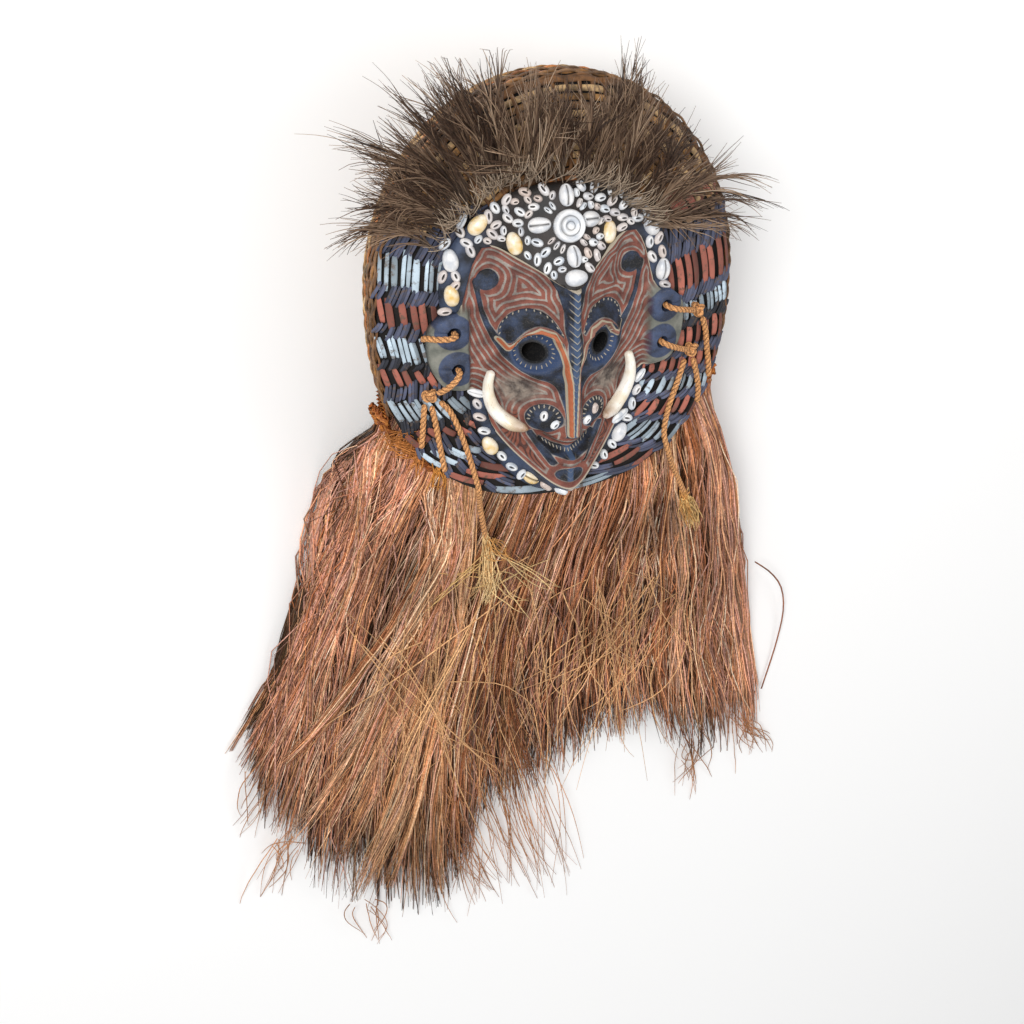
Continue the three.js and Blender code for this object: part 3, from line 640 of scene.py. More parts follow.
# Each strip is tilted a little by its luck, which the paint reads too
STRIP_TILT = 0.30
paths, widths, paints, luck = zip(*weave_front())
paths, luck = np.array(paths), np.array(luck)
ahead = unit(np.gradient(paths, axis=1))
lift = surface_normals(shield_top, paths[..., 0], paths[..., 1])
side = unit(np.cross(lift, ahead)) + lift * ((luck[:, None, None] - 0.5) * 2 * STRIP_TILT)
side = unit(side)
rings = strip_rings(paths, np.cross(ahead, side), side, np.array(widths), STRIP_THICK)
weave = mesh_piece("painted_shield_weave", rings.reshape(-1, 3) * MM,
                   tube_triangles(*rings.shape[:3]), painted_cane)
colours = np.array([linear(PAINTS[name])[:3] + [share] for name, share in zip(paints, luck)])
paint(weave, "strip_paint", np.repeat(colours, rings.shape[1] * rings.shape[2], axis=0))
fit_piece(weave)

# The bare cane: strips that go over and under the stakes, round the crown and round the hood
STAKE_SPACING = 15
STAKE_TONE = 2
CANE_PITCH = 7.4
BARE_ABOVE = 86
CANE_TONES = ["#8a6034", "#a87b48", "#6b4726", "#c6a273", "#b5713c", "#7b5a3c"]
cane_random = random.Random(5)
cane_points, cane_faces, cane_colours = [], [], []


def lay_cane(path, lift, width, thick, tone):
    """Adds one strip of bare cane along a path"""
    ahead = unit(np.gradient(path, axis=0))
    side = unit(np.cross(lift, ahead))
    rings = strip_rings(path, np.cross(ahead, side), side, np.full(len(path), width), thick, 6)
    first = sum(len(p) for p in cane_points)
    cane_points.append(rings.reshape(-1, 3))
    cane_faces.append(tube_triangles(1, *rings.shape[:2]) + first)
    base = np.array(linear(CANE_TONES[tone])[:3] + [cane_random.random()])
    cane_colours.append(np.repeat(base[None], len(cane_points[-1]), axis=0))


def over_and_under(place, normal, row):
    """One woven strip along places, over one stake and under the next"""
    run = run_along(place)
    at = np.arange(0, run[-1], STAKE_SPACING / 4)
    place = np.stack([np.interp(at, run, place[:, k]) for k in range(3)], 1)
    lift = np.stack([np.interp(at, run, normal[:, k]) for k in range(3)], 1)
    wave = 1.3 * np.cos(np.pi * at / STAKE_SPACING + row * math.pi)
    return place + lift * wave[:, None], lift


def hood_strip(x, y):
    return np.stack([x, y, hood_back(x, y)], 1), surface_normals(hood_back, x, y, -1)


def crown_strip(x, y):
    return np.stack([x, y, shield_top(x, y)], 1), surface_normals(shield_top, x, y)


full_turn = np.linspace(-np.pi / 2, 3 * np.pi / 2, 1500)
for row in range(37):
    psi = math.pi / 2 - (row + 0.4) * CANE_PITCH / 182
    if psi < 0.06:
        break
    x, y = helmet_places(full_turn, math.sin(psi))
    if y[0] > HOOD_RIM:
        x, y = helmet_places(full_turn + np.pi / 2, math.sin(psi))
    keep = y > HOOD_RIM
    path, lift = over_and_under(*hood_strip(x[keep], y[keep]), row)
    path[:, 2] = np.maximum(path[:, 2], 0.9)
    lay_cane(path, lift, 6.4, 1.6, cane_random.randrange(6))

# A bound rim covers the joint of hood and shield
for row, (share, height, tone) in enumerate(((1.002, 161.8, 0), (1.006, 165.4, 5), (0.994, 168.6, 2))):
    outward = np.stack([np.cos(full_turn), np.sin(full_turn), 0 * full_turn], 1)
    places = (HELMET_X, 0, height) + outward * helmet_reach(full_turn)[:, None] * share
    keep = places[:, 1] > HOOD_RIM
    path, lift = over_and_under(places[keep], outward[keep], row)
    lay_cane(path, lift, 4.4, 2.2, tone)

for stake in range(46):
    share = np.sin(np.linspace(0.12 if stake % 2 else 0.5, math.pi / 2, 26))
    x, y = helmet_places(2 * math.pi * stake / 46, share)
    keep = y > HOOD_RIM
    if keep.sum() >= 6:
        path, lift = hood_strip(x[keep], y[keep])
        path[:, 2] = np.maximum(path[:, 2], 1.2)
        lay_cane(path, lift, 4.2, 2.6, STAKE_TONE)

# Round the crown the same weave climbs from the rim to the feathers
for row in range(15):
    angle = np.linspace(math.radians(20), math.radians(162), 900)
    x, y = helmet_places(angle, 1 - (row * 6.6 + 3) / CROWN)
    keep = np.nonzero((y > BARE_ABOVE + 10 * np.sin(angle * 9)) & (past_bed(x, y) >= -3))[0]
    if len(keep) < 40:
        continue
    for part in np.split(keep, np.nonzero(np.diff(keep) > 1)[0] + 1):
        if len(part) >= 30:
            path, lift = over_and_under(*crown_strip(x[part], y[part]), row)
            lay_cane(path, lift, 5.8, 1.6, cane_random.randrange(6))
for stake in range(40):
    x, y = helmet_places(math.radians(20 + 142 * stake / 39), np.linspace(0.5, 0.995, 18))
    keep = (y > BARE_ABOVE) & (past_bed(x, y) >= -6)
    if keep.sum() >= 4:
        path, lift = crown_strip(x[keep], y[keep])
        lay_cane(path + (0, 0, 0.6), lift, 3.6, 2.4, STAKE_TONE)

bare_cane, add = new_material("smoke_browned_split_cane")
spots = add("TexCoord", out="Object")
grain = add("TexNoise", Vector=spots, Scale=320.0, Detail=4.0, Roughness=0.7)
broad = add("TexNoise", Vector=spots, Scale=70.0, Detail=3.0)
shade = add("Math", add("MapRange", broad, 0.35, 0.62, 0.30, 1.25),
            add("MapRange", grain, 0.3, 0.7, 0.6, 1.25), operation="MULTIPLY")
own = add("Attribute", attribute_name="cane_tone", out="Color")
add("Surface", Base_Color=add("VectorMath", own, shade, operation="SCALE"), Roughness=0.7,
    Normal=add("Bump", Strength=0.4, Distance=0.0005, Height=grain))

hood_weave = mesh_piece(
    "bare_cane_weave", np.concatenate(cane_points) * MM, np.concatenate(cane_faces), bare_cane)
paint(hood_weave, "cane_tone", np.concatenate(cane_colours))
fit_piece(hood_weave)


# Carved face
# One piece of light wood on the shield, carved in low relief. Its grooves follow the dark shapes of
# brow, eye, nose, nostril and mouth, and are painted earth red, grey and blue-black.

KEEL_HEIGHT, GABLE_SLOPE = 234, 0.62
PANEL_EDGE, EAR_PLATE = 6, 13
EYE_SOCKET, EYE_DEPTH, EYE_RIM, EYE_HOLE = 20, 11, 14, 9
NOSE_TIP, BROW_BOTTOM, LIP_Y, LIP_CURVE = -107, 31, -121, 0.022
NOSTRIL_X, NOSTRIL_Y = 23, -90
EAR_DISCS = ((98, -7), (95, -41))
EAR_DISC_RADIUS, EAR_HOLE = 17, 5.5
GROOVE_PITCH = 4.8                   # a red groove and the grey ridge beside it
CHEVRON_PITCH, CHEVRON_SLOPE = 6.4, 0.9


def to_ear_disc(x, y):
    return np.minimum(*[np.hypot(np.abs(x) - dx, y - dy) for dx, dy in EAR_DISCS])


def to_eye(x, y):
    return np.hypot(np.abs(x) - EYE_X, y - EYE_Y)


def is_ear(x, y):
    return ease(np.abs(x), 80, 86) * ease(y, -70, -60) * (1 - ease(y, 8, 16))


def face_top(x, y):
    """Height of the carved wood over the plan, as the solid has it but with the eyes' rims raised"""
    a = np.abs(x)
    gable = KEEL_HEIGHT + 4 - GABLE_SLOPE * np.hypot(a, 6)
    keel_wide = 5 + 4 * np.clip((BROW_BOTTOM - y) / (BROW_BOTTOM - NOSE_TIP), 0, 1)
    keel = 9 * bump(a, keel_wide) * ease(y, NOSE_TIP - 3, NOSE_TIP + 2)
    socket = EYE_RIM * (1 - ease(to_eye(x, y), 17, 31)) - EYE_DEPTH * bump(to_eye(x, y), EYE_SOCKET)
    to_brow = np.abs(np.hypot(a - EYE_X, (y - EYE_Y + 4) * 0.8) - 24)
    brow = 4 * bump(to_brow, 5) * ease(y, EYE_Y + 6, EYE_Y + 14)
    nostril = 7 * bump(np.hypot(a - NOSTRIL_X, y - NOSTRIL_Y), 14)
    lip = y - LIP_Y - LIP_CURVE * a * a
    mouth = (-9 * bump(lip, 6) + 5 * bump(lip + 11, 5)) * bump(a, 30)
    carved = np.maximum(gable + keel + socket + brow + nostril + mouth, shield_top(x, y) + PANEL_EDGE)
    ear = shield_top(x, y) + EAR_PLATE + 5 * bump(to_ear_disc(x, y), EAR_DISC_RADIUS - 1)
    return carved + (ear - carved) * is_ear(x, y)


def to_stroke(a, y, path):
    """Distance to a brush stroke given as places with half widths"""
    nearest = np.full(np.shape(a), 1e3)
    for (x0, y0, half0), (x1, y1, half1) in zip(path, path[1:]):
        dx, dy = x1 - x0, y1 - y0
        t = np.clip(((a - x0) * dx + (y - y0) * dy) / (dx ** 2 + dy ** 2), 0, 1)
        away = np.hypot(a - x0 - t * dx, y - y0 - t * dy) - half0 - t * (half1 - half0)
        nearest = np.minimum(nearest, away)
    return nearest


def to_shape(a, y, corners):
    """Distance to a smooth closed curve through corners, below nothing inside it"""
    ring = [(x, z, 0) for x, z in corners]
    line, _ = smooth_line(ring[-2:] + ring + ring[:3], 2.5)
    to_first = np.hypot(*(line[:, :2] - corners[0]).T)
    half = len(line) // 2
    line = line[np.argmin(to_first[:half]):half + np.argmin(to_first[half:]) + 1, :2]
    away = to_stroke(a, y, [(px, py, 0) for px, py in line])
    crossed = np.zeros(np.shape(a), bool)
    for (x0, y0), (x1, y1) in zip(line, np.roll(line, -1, axis=0)):
        if y0 != y1:
            crossed ^= ((y0 > y) != (y1 > y)) & (a < (x1 - x0) * (y - y0) / (y1 - y0) + x0)
    return np.where(crossed, -away, away)


# The right half's dark shapes: strokes as place and half width, outlines as corners
TAIL = [(75, 34, 3.4), (74, 24, 2.0), (71, 8, 2.0), (66, -6, 2.3), (59, -19, 3.2), (52, -30, 4.2),
        (43, -38, 4.6)]
NOSE_SIDE = [(12, -15), (8, -34), (4, -55), (3, -98), (6, -105), (8, -78), (14, -60), (27, -53),
             (40, -45), (47, -33), (38, -18), (24, -14)]
BROW = [(57, -14), (54, -2), (44, 8), (32, 11), (19, 5), (9, -12), (17, -5), (29, -2), (39, -6),
        (46, -13), (52, -20)]
BAND = [(57, -19), (52, -25), (46, -22), (38, -11), (28, -6), (18, -9), (11, -24), (7, -38),
        (4.6, -55), (3.4, -103)]
MOUTH = [(25, -113, 2.4), (15, -121, 3.6), (4, -124.5, 4.2), (0, -125, 4.2)]
LIP_BAR = [(33, -106, 2.6), (25, -119, 3.2), (15, -134, 3.0)]


def keel_half(y):
    return np.interp(y, [-108, -90, -20, 10, 28, 40], [6.5, 6, 6.5, 8, 13, 20])


def carving(x, y):
    """Distances to the dark shapes, to the panel's edge and to the raised line beside the eye"""
    a = np.abs(x)
    to_dark = np.minimum.reduce([
        np.hypot(a - 66, y - 35) - 9.5,
        to_stroke(a, y, TAIL),
        to_eye(x, y) - 20,
        to_shape(a, y, NOSE_SIDE),
        to_shape(a, y, BROW),
        np.hypot((a - NOSTRIL_X) * 0.95, y - NOSTRIL_Y) - 13.5,
        to_stroke(a, y, MOUTH),
        to_stroke(a, y, LIP_BAR),
        np.hypot(a * 0.5, y + 146) - 6.5,
        np.maximum(a - keel_half(y), NOSE_TIP - 1 - y),
    ])
    ring = [(px, py, 0) for px, py in FACE_OUTLINE]
    line, _ = smooth_line([(-27, 46, 0)] + ring + [(-13, -156, 0)], 2.5)
    to_edge = to_stroke(a, y, [(px, py, 0) for px, py, _ in line])
    return to_dark, to_edge, to_stroke(a, y, [(px, py, 1.4) for px, py in BAND])


def groove_phase(x, y, to_dark, to_edge):
    """Where a place lies between the grooves, which run round whatever is nearest"""
    wobble = 0.5 * np.sin(x / 5.1 + 1.7 * np.sin(y / 7.3)) + 0.35 * np.sin(y / 3.7 + x / 8.9)
    swirl = np.sin(x / 6.1 + 2.1 * np.sin(y / 8.7)) * np.sin(y / 9.5 + np.sin(x / 7.9))
    nearest = np.minimum(to_dark, to_edge * 1.02)
    return nearest / GROOVE_PITCH + 0.12 * wobble + 0.34 * swirl * ease(y, -4, 14)


def carved_relief(x, y):
    """What the knife took away or left standing, over the plain face"""
    to_dark, to_edge, band = carving(x, y)
    ear = is_ear(x, y)
    phase = groove_phase(x, y, to_dark, to_edge)
    groove = -0.75 * bump((phase % 1) - 0.45, 0.29) * ease(to_dark, 0, 1.5)
    in_keel = bump(x, keel_half(y) - 1.5) * ease(-y, -38, -28)
    sunk = -2.2 * ease(-to_dark, -0.8, 1.2) * (1 - 0.7 * in_keel)
    chevron = ((y - CHEVRON_SLOPE * np.abs(x)) / CHEVRON_PITCH) % 1
    notch = 0.8 * bump(chevron - 0.5, 0.18) * bump(x, 5.2) * ease(y, NOSE_TIP - 2, NOSE_TIP + 4)
    ridge = 1.5 * ease(-band, -0.7, 0.7)
    rim = -2.2 * bump(to_eye(x, y) - 13, 3.5)
    to_slot = np.minimum(*[np.abs(y - dy) for _, dy in EAR_DISCS])
    slot = -2.0 * bump(to_slot, 1.1) * bump(to_ear_disc(x, y), 15) * ease(np.abs(x), 99, 101) * ear
    return (groove + sunk + notch + ridge + rim + 0.9 * bump(to_edge, 1.6)) * (1 - ear) + slot


def carved_face_top(x, y):
    return face_top(x, y) + carved_relief(x, y)


FACE_RINGS = 112
face = block_piece(
    "carved_face_panel", FACE_MIDDLE, face_reach, 560, (np.arange(FACE_RINGS) + 1) / FACE_RINGS,
    carved_face_top, lambda x, y: shield_top(x, y) + 0.3, under_rings=np.array([0.5, 0.8, 1.0]))
for side in (-1, 1):
    drill(face, side * EYE_X, EYE_Y, EYE_HOLE, 165, 260)
    for disc_x, disc_y in EAR_DISCS:
        drill(face, side * disc_x, disc_y, EAR_HOLE, 150, 240)

# The carving's own measures, kept on the mesh for its paint to follow
places = np.empty(len(face.data.vertices) * 3)
face.data.vertices.foreach_get("co", places)
x, y, _ = places.reshape(-1, 3).T / MM
a = np.abs(x)
to_dark, to_edge, to_band = carving(x, y)
for name, values in {
        "to_dark": to_dark, "to_edge": to_edge, "to_band": to_band, "to_disc": to_ear_disc(x, y),
        "to_eye": to_eye(x, y), "from_keel": a, "ear": is_ear(x, y),
        "phase": groove_phase(x, y, to_dark, to_edge), "chevron": (y - CHEVRON_SLOPE * a) / CHEVRON_PITCH,
        "marked": (0.12 + 0.63 * ease(y, -60, -25)) * (1 - ease(a, 4.4, 5.6)),
        "cheek": ease(-y, 82, 92) * ease(np.minimum(to_edge, to_dark), 4, 5.5) * ease(a, 12, 18),
        "rubbed": bump(np.hypot((a - 42) / 1.25, y + 65), 15) * ease(to_dark, 4.5, 6)}.items():
    measure(face, name, values)

face_paint, add = new_material("earth_paint_on_carved_wood")
spots = add("TexCoord", out="Object")
fine = add("TexNoise", Vector=spots, Scale=900.0, Detail=4.0, Roughness=0.7)
broad = add("TexNoise", Vector=spots, Scale=75.0, Detail=4.0, Roughness=0.6)
PATCHES = {
    "reds": (0.35, 0.65, "#552c23", "#864c3d"), "greys": (0.4, 0.65, "#69605a", "#9d948b"),
    "rubbed": (0.4, 0.6, "#3d332e", "#86796d"), "blue": (0.4, 0.68, "#0c0e13", "#323f57"),
    "plate": (0.35, 0.65, "#5b5d55", "#807f75"), "disc": (0.35, 0.65, "#242c3e", "#3e4b68")}
patchy = {name: add("Mix", add("MapRange", broad, low, high), first, second, data_type="RGBA")
          for name, (low, high, first, second) in PATCHES.items()}

phase = add("Math", add("Math", "phase", add("MapRange", fine, 0.3, 0.7, -0.07, 0.07)), operation="FRACT")
in_groove = add("Math", add("MapRange", phase, 0.08, 0.18), add("MapRange", phase, 0.74, 0.84, 1.0, 0.0),
                operation="MULTIPLY")
swirl = add("TexNoise", Vector=spots, Scale=36.0, Detail=0.0)
swirl = add("Math", add("Math", swirl, 17.0, operation="MULTIPLY"), operation="FRACT")
brown = add("Mix", add("MapRange", swirl, 0.35, 0.5, 0.0, 0.8), "#42221a", "#7f4532", data_type="RGBA")
# A bluer ring round each eye socket's wall: painted highlight.
eye_rim_highlight = add("Math", add("MapRange", "to_eye", 11.0, 15.0), add("MapRange", "to_eye", 17.0, 21.0, 0.8, 0.0),
             operation="MULTIPLY")
in_dark = add("MapRange", "to_dark", -0.15, 0.35, 1.0, 0.0)
# A bluer line along the keel's crest: painted highlight.
in_keel = add("Math", add("MapRange", "from_keel", 2.0, 3.4, 1.0, 0.0), in_dark, operation="MULTIPLY")
chevron = add("Math", "chevron", operation="FRACT")
mark = add("Math", add("MapRange", chevron, 0.36, 0.42), add("MapRange", chevron, 0.54, 0.6, 1.0, 0.0),
           operation="MULTIPLY")
mark = add("Math", add("Math", mark, "marked", operation="MULTIPLY"), in_dark, operation="MULTIPLY")
on_right = add("MapRange", add("SeparateXYZ", spots, out="X"), 0, 0.001)

# Painted in layers, each over a share of the ones before
LAYERS = (
    (in_groove, patchy["reds"]), ("cheek", brown), ("rubbed", patchy["rubbed"]),
    # Painted highlights: blue on the eye sockets' walls and along the keel's crest.
    (in_dark, add("Mix", eye_rim_highlight, patchy["blue"], "#2b4064", data_type="RGBA")),
    (in_keel, "#374a66"), (mark, "#a79f8c"),
    (add("MapRange", "to_band", 1.1, 1.5, 1.0, 0.0), "#a39883"),
    (add("MapRange", "to_band", -0.1, 0.2, 1.0, 0.0),
     add("Mix", on_right, "#a65a37", "#85584a", data_type="RGBA")),
    (add("MapRange", "to_edge", 0.9, 1.5, 1.0, 0.0), "#a79c8a"),
    ("ear", add("Mix", add("MapRange", "to_disc", 15.8, 16.6, 1.0, 0.0), patchy["plate"], patchy["disc"],
                data_type="RGBA")),
    # Near black inside the eye holes: painted shade.
    (add("MapRange", "to_eye", 9.8, 11.6, 1.0, 0.0), "#07070a"),
    (add("MapRange", fine, 0.55, 0.75, 0.0, 0.35), "#8a7f72"))
painted = patchy["greys"]
for share, coat in LAYERS:
    painted = add("Mix", share, painted, coat, data_type="RGBA")
add("Surface", Base_Color=painted, Roughness=0.72,
    Normal=add("Bump", Strength=0.35, Distance=0.0004, Height=fine))
face.data.materials.clear()
face.data.materials.append(face_paint)
fit_piece(face, "carved_face")


def ring_triangles(rings, sides):
    """Outward triangles of a closed form: a first point, rings of so many sides, and a last point"""
    last, faces = 1 + rings * sides, []
    for side in range(sides):
        there = (side + 1) % sides
        faces.append((0, 1 + there, 1 + side))
        faces.append((last, last - sides + side, last - sides + there))
        for ring in range(rings - 1):
            a, b = 1 + ring * sides + side, 1 + ring * sides + there
            faces += [(a, b, b + sides), (a, b + sides, a + sides)]
    return np.array(faces)


def set_down(shape, x, y, turn, size, height, sink=0.0):
    """A unit shape at its size, laid on a surface with its long side turned in plan"""
    x, y = np.array(float(x)), np.array(float(y))
    normal = surface_normals(height, x, y)
    ahead = np.array([math.cos(math.radians(turn)), math.sin(math.radians(turn)), 0])
    ahead = unit(ahead - normal * (ahead @ normal))
    local = shape * np.array(size)
    seat = np.array([x, y, height(x, y)]) - normal * sink
    return seat + local[:, :1] * ahead + local[:, 1:2] * np.cross(normal, ahead) + local[:, 2:] * normal


def many_piece(name, shapes, triangles, material):
    """One mesh of many copies of a shape, each already in its place"""
    count = len(shapes[0])
    faces = np.concatenate([triangles + count * index for index in range(len(shapes))])
    return mesh_piece(name, np.concatenate(shapes) * MM, faces, material)


# Tooth marks: little pale egg-shaped pegs along the brow, round the eye and over the nostril
PEG_RINGS, PEG_SIDES = 3, 6
peg = [(0, 0, -0.5)]
for down in math.pi * np.arange(1, PEG_RINGS + 1) / (PEG_RINGS + 1):
    for turn in 2 * math.pi * np.arange(PEG_SIDES) / PEG_SIDES:
        out = math.sin(down) / 2
        peg.append((math.cos(turn) * out, math.sin(turn) * out, -math.cos(down) / 2))
peg = np.array(peg + [(0, 0, 0.5)])
brow_line, _ = smooth_line(
    [(56, -13, 0), (53, -2, 0), (43, 7, 0), (32, 10, 0), (19, 4, 0), (10, -9, 0)], 1.0)
# Rings of pegs: middle, radius, how many, first and last turn, size and how far they stand up
PEG_RINGLETS = (
    (EYE_X, EYE_Y, 14.8, 22, 0, 360 * 21 / 22, (4.6, 1.2, 1.2), 0.1),
    (NOSTRIL_X, NOSTRIL_Y, 11.6, 11, -10, 190, (4.4, 1.5, 1.6), 0.2))
teeth = []
for side in (-1, 1):
    for t in np.arange(13) / 12:
        x, y, _ = brow_line[int(t * (len(brow_line) - 1))]
        teeth.append(set_down(peg, side * x, y - 0.6, 90 + side * (40 - 80 * t), (3.4, 1.5, 1.6),
                              carved_face_top, -0.1))
    for middle_x, middle_y, radius, count, low, high, size, proud in PEG_RINGLETS:
        for turn in np.linspace(low, high, count):
            x = middle_x + radius * math.cos(math.radians(turn))
            y = middle_y + radius * math.sin(math.radians(turn))
            teeth.append(set_down(peg, side * x, y, turn if side > 0 else 180 - turn, size,
                                  carved_face_top, -proud))
for x in range(-21, 22, 3):
    teeth.append(set_down(peg, x, -124.4 + LIP_CURVE * x * x, 90, (6.5, 1.1, 1.3), carved_face_top, -0.1))
tooth_bone, add = new_material("pale_rubbed_wood")
add("Surface", Base_Color="#9c9384", Roughness=0.7)
pegs = many_piece("carved_face_tooth_marks", teeth, ring_triangles(PEG_RINGS, PEG_SIDES), tooth_bone)
fit_piece(pegs)


# Shells in resin paste
# A boss of dark paste over the brow and a strip round the panel hold the shells: a ring shell with
# cowries about it, yellowed cowries on the border, 100 small whelk shells and three leaf-shaped ones.
# Four more whelk shells lie over the nostrils.


def bed_top(x, y):
    """Height of the paste over the plan, as the solid has it"""
    a = np.abs(x)
    boss = 236 - 0.36 * (y - 40) - 23 * (a / 43) ** 1.3
    chin = KEEL_HEIGHT - GABLE_SLOPE * a - 1.3 * np.maximum(past_face(x, y), 0)
    return np.maximum(shield_top(x, y) + 8, np.where(y > -20, boss, chin))


def lumpy_bed_top(x, y):
    lumps = np.sin(x / 2.9 + np.sin(y / 4.3)) * np.sin(y / 3.3 + np.sin(x / 5.1))
    return bed_top(x, y) - 0.6 + 0.5 * lumps - 4.5 * (1 - ease(-past_bed(x, y), -1, 7))


resin_paste, add = new_material("dark_resin_paste")
spots = add("TexCoord", out="Object")
broad = add("TexNoise", Vector=spots, Scale=60.0, Detail=3.0)
fine = add("TexNoise", Vector=spots, Scale=520.0, Detail=4.0)
lumps = add("MapRange", broad, 0.38, 0.62)
side_on = add("Math", add("SeparateXYZ", spots, out="X"), operation="ABSOLUTE")
on_border = add("Math", add("MapRange", side_on, 0.055, 0.088),
                add("MapRange", add("SeparateXYZ", spots, out="Y"), 0.0, -0.06), operation="MAXIMUM")
browns = add("Mix", lumps, "#0b0807", "#241a15", data_type="RGBA")
blues = add("Mix", lumps, "#12151d", "#37435a", data_type="RGBA")
add("Surface", Base_Color=add("Mix", on_border, browns, blues, data_type="RGBA"), Roughness=0.62,
    Normal=add("Bump", Strength=0.5, Distance=0.0006, Height=fine))

BED_RINGS = (np.arange(34) + 1) / 34
for name, waste_y in (("forehead", -170), ("chin", 100)):
    bed = block_piece("paste_bed_" + name, BED_MIDDLE, bed_reach, 220, BED_RINGS, lumpy_bed_top,
                      lambda x, y: shield_top(x, y) + 0.3, resin_paste, under_rings=BED_RINGS[3::5])
    cut_away(bed, block_piece(
        "panel_cutter", FACE_MIDDLE, lambda angle: face_reach(angle) - 0.6, 90, np.array([1.0]),
        lambda x, y: 300 + 0 * x, lambda x, y: 120 + 0 * x))
    saw_off(bed, (0, waste_y * MM, 0.2), (0.5, 0.3, 0.3))
    fit_piece(bed, "shell_bed_" + name)


def turned_form(profile, sides, shift=(0.0, 0.0)):
    """A round form from its profile, top to bottom, as unit points, triangles and ring numbers"""
    points, marks = [], []
    for ring, (reach, rise) in enumerate(profile):
        for side in range(sides if reach else 1):
            turn = 2 * math.pi * side / sides
            points.append((reach * math.cos(turn) / 2 + shift[0] * (1 - reach),
                           reach * math.sin(turn) / 2 + shift[1] * (1 - reach), rise))
            marks.append(ring)
    return np.array(points), ring_triangles(len(profile) - 2, sides)[:, ::-1], np.array(marks)


def cowrie_form(has_slit, rings=22, sides=26):
    """A cowrie, long in x: a smooth back, or the toothed slit turned up"""
    around = np.sort(np.concatenate([np.linspace(0, 360, sides, endpoint=False), [84, 87, 93, 96]]))
    around = np.radians(around)
    points, dark = [(-0.5, 0, 0)], [0.0]
    for x in np.cos(np.linspace(np.pi, 0, rings + 1))[1:-1]:
        reach = math.sqrt(1 - x * x) ** 0.9
        y, z = reach * np.cos(around) / 2, reach * np.sin(around) / 2
        slit = np.exp(-(y / 0.045) ** 2) * (has_slit and abs(x) < 0.86) * (z > 0)
        if slit.any():
            z = z - (z > 0) * (0.20 * slit + 0.05 * np.exp(-(y / 0.16) ** 2)
                               - 0.022 * math.cos(x * 42) * np.exp(-((np.abs(y) - 0.09) / 0.05) ** 2))
        points += zip(0 * y + x / 2, y * (1 - 0.10 * x), z)
        dark += slit.tolist()
    return np.array(points + [(0.5, 0, 0)]), ring_triangles(rings - 1, len(around)), np.array(dark + [0.0])


def shell_material(name, pale, deep):
    material, add = new_material(name)
    broad = add("TexNoise", Vector=add("TexCoord", out="Object"), Scale=120.0, Detail=2.0)
    base = add("Mix", add("MapRange", broad, 0.35, 0.68), pale, deep, data_type="RGBA")
    warm = add("Mix", "warmth", base, "#b89478", data_type="RGBA")
    # Openings, slits and grooves turn near black: painted shade.
    add("Surface", Base_Color=add("Mix", "opening", warm, "#1c1614", data_type="RGBA"), Roughness=0.32)
    return material


SHELL_MATERIALS = {
    "white_shell": shell_material("white_cowrie_and_whelk", "#e9e9e8", "#bcc3cb"),
    "yellow_shell": shell_material("yellowed_cowrie", "#efe6d2", "#dcb86a")}


def shell_piece(name, shapes, faces, opening, warmth, slot="white_shell", stands_for=None):
    """Shells of one form as one mesh, with the painted shade of their openings and their warmth stored on it
    """
    shell = many_piece(name, shapes, faces, SHELL_MATERIALS[slot])
    measure(shell, "opening", np.tile(opening, len(shapes)))
    measure(shell, "warmth", np.repeat(np.broadcast_to(warmth, len(shapes)), len(opening)))
    fit_piece(shell, stands_for)


# Each cowrie's plan place, turn and length, and whether its slit is up
COWRIES = {
    "rosette_cowrie_top": (0, 106, 90, 19, True), "rosette_cowrie_left": (-23, 82, 0, 20, True),
    "rosette_cowrie_right": (23, 82, 0, 20, True), "rosette_cowrie_bottom": (1, 58, 90, 19, True),
    "brow_cowrie_middle": (1, 41, 0, 21, False), "brow_cowrie_left": (-43, 66, 115, 20, False),
    "brow_cowrie_right": (43, 66, 65, 20, False), "border_cowrie_left_1": (-97, 55, 100, 20, False),
    "border_cowrie_left_2": (-73, 84, 45, 20, False), "border_cowrie_left_3": (-97, 24, 100, 19, False),
    "border_cowrie_right_1": (84, 66, 120, 20, False), "border_cowrie_right_2": (97, 24, 85, 20, True),
    "chin_cowrie_left": (-65, -121, 120, 19, False), "chin_cowrie_right": (59, -127, 60, 19, False),
    "chin_cowrie_middle": (-27, -158, 150, 17, True)}
COWRIE_WIDE, COWRIE_HIGH = 0.68, 0.62
YELLOWED = {"brow_cowrie_left", "brow_cowrie_right", "border_cowrie_left_2", "border_cowrie_left_3",
            "chin_cowrie_left", "chin_cowrie_middle"}
for name, (x, y, turn, length, has_slit) in COWRIES.items():
    points, faces, dark = cowrie_form(has_slit)
    placed = set_down(points, x, y, turn, (length, length * COWRIE_WIDE, length * COWRIE_HIGH), bed_top)
    shell_piece(name + "_shell", [placed], faces, dark, 0.1,
                "yellow_shell" if name in YELLOWED else "white_shell", name)

RING_PROFILE = [
    (0, 0.26), (0.10, 0.27), (0.20, 0.22), (0.26, 0.12), (0.33, 0.14), (0.42, 0.26), (0.52, 0.24),
    (0.60, 0.08), (0.68, 0.08), (0.80, 0.20), (0.92, 0.16), (1.0, 0.02), (0.98, -0.20), (0, -0.20)]
RING_Y = 82                          # the ring shell's middle, which the rows of whelks go round
points, faces, rings = turned_form(RING_PROFILE, 48)
shell_piece("ring_shell_disc", [set_down(points, 0, RING_Y, 0, (28, 28, 21), bed_top)], faces,
            np.isin(rings, (3, 7)) * 0.75, 0.05, stands_for="ring_shell")

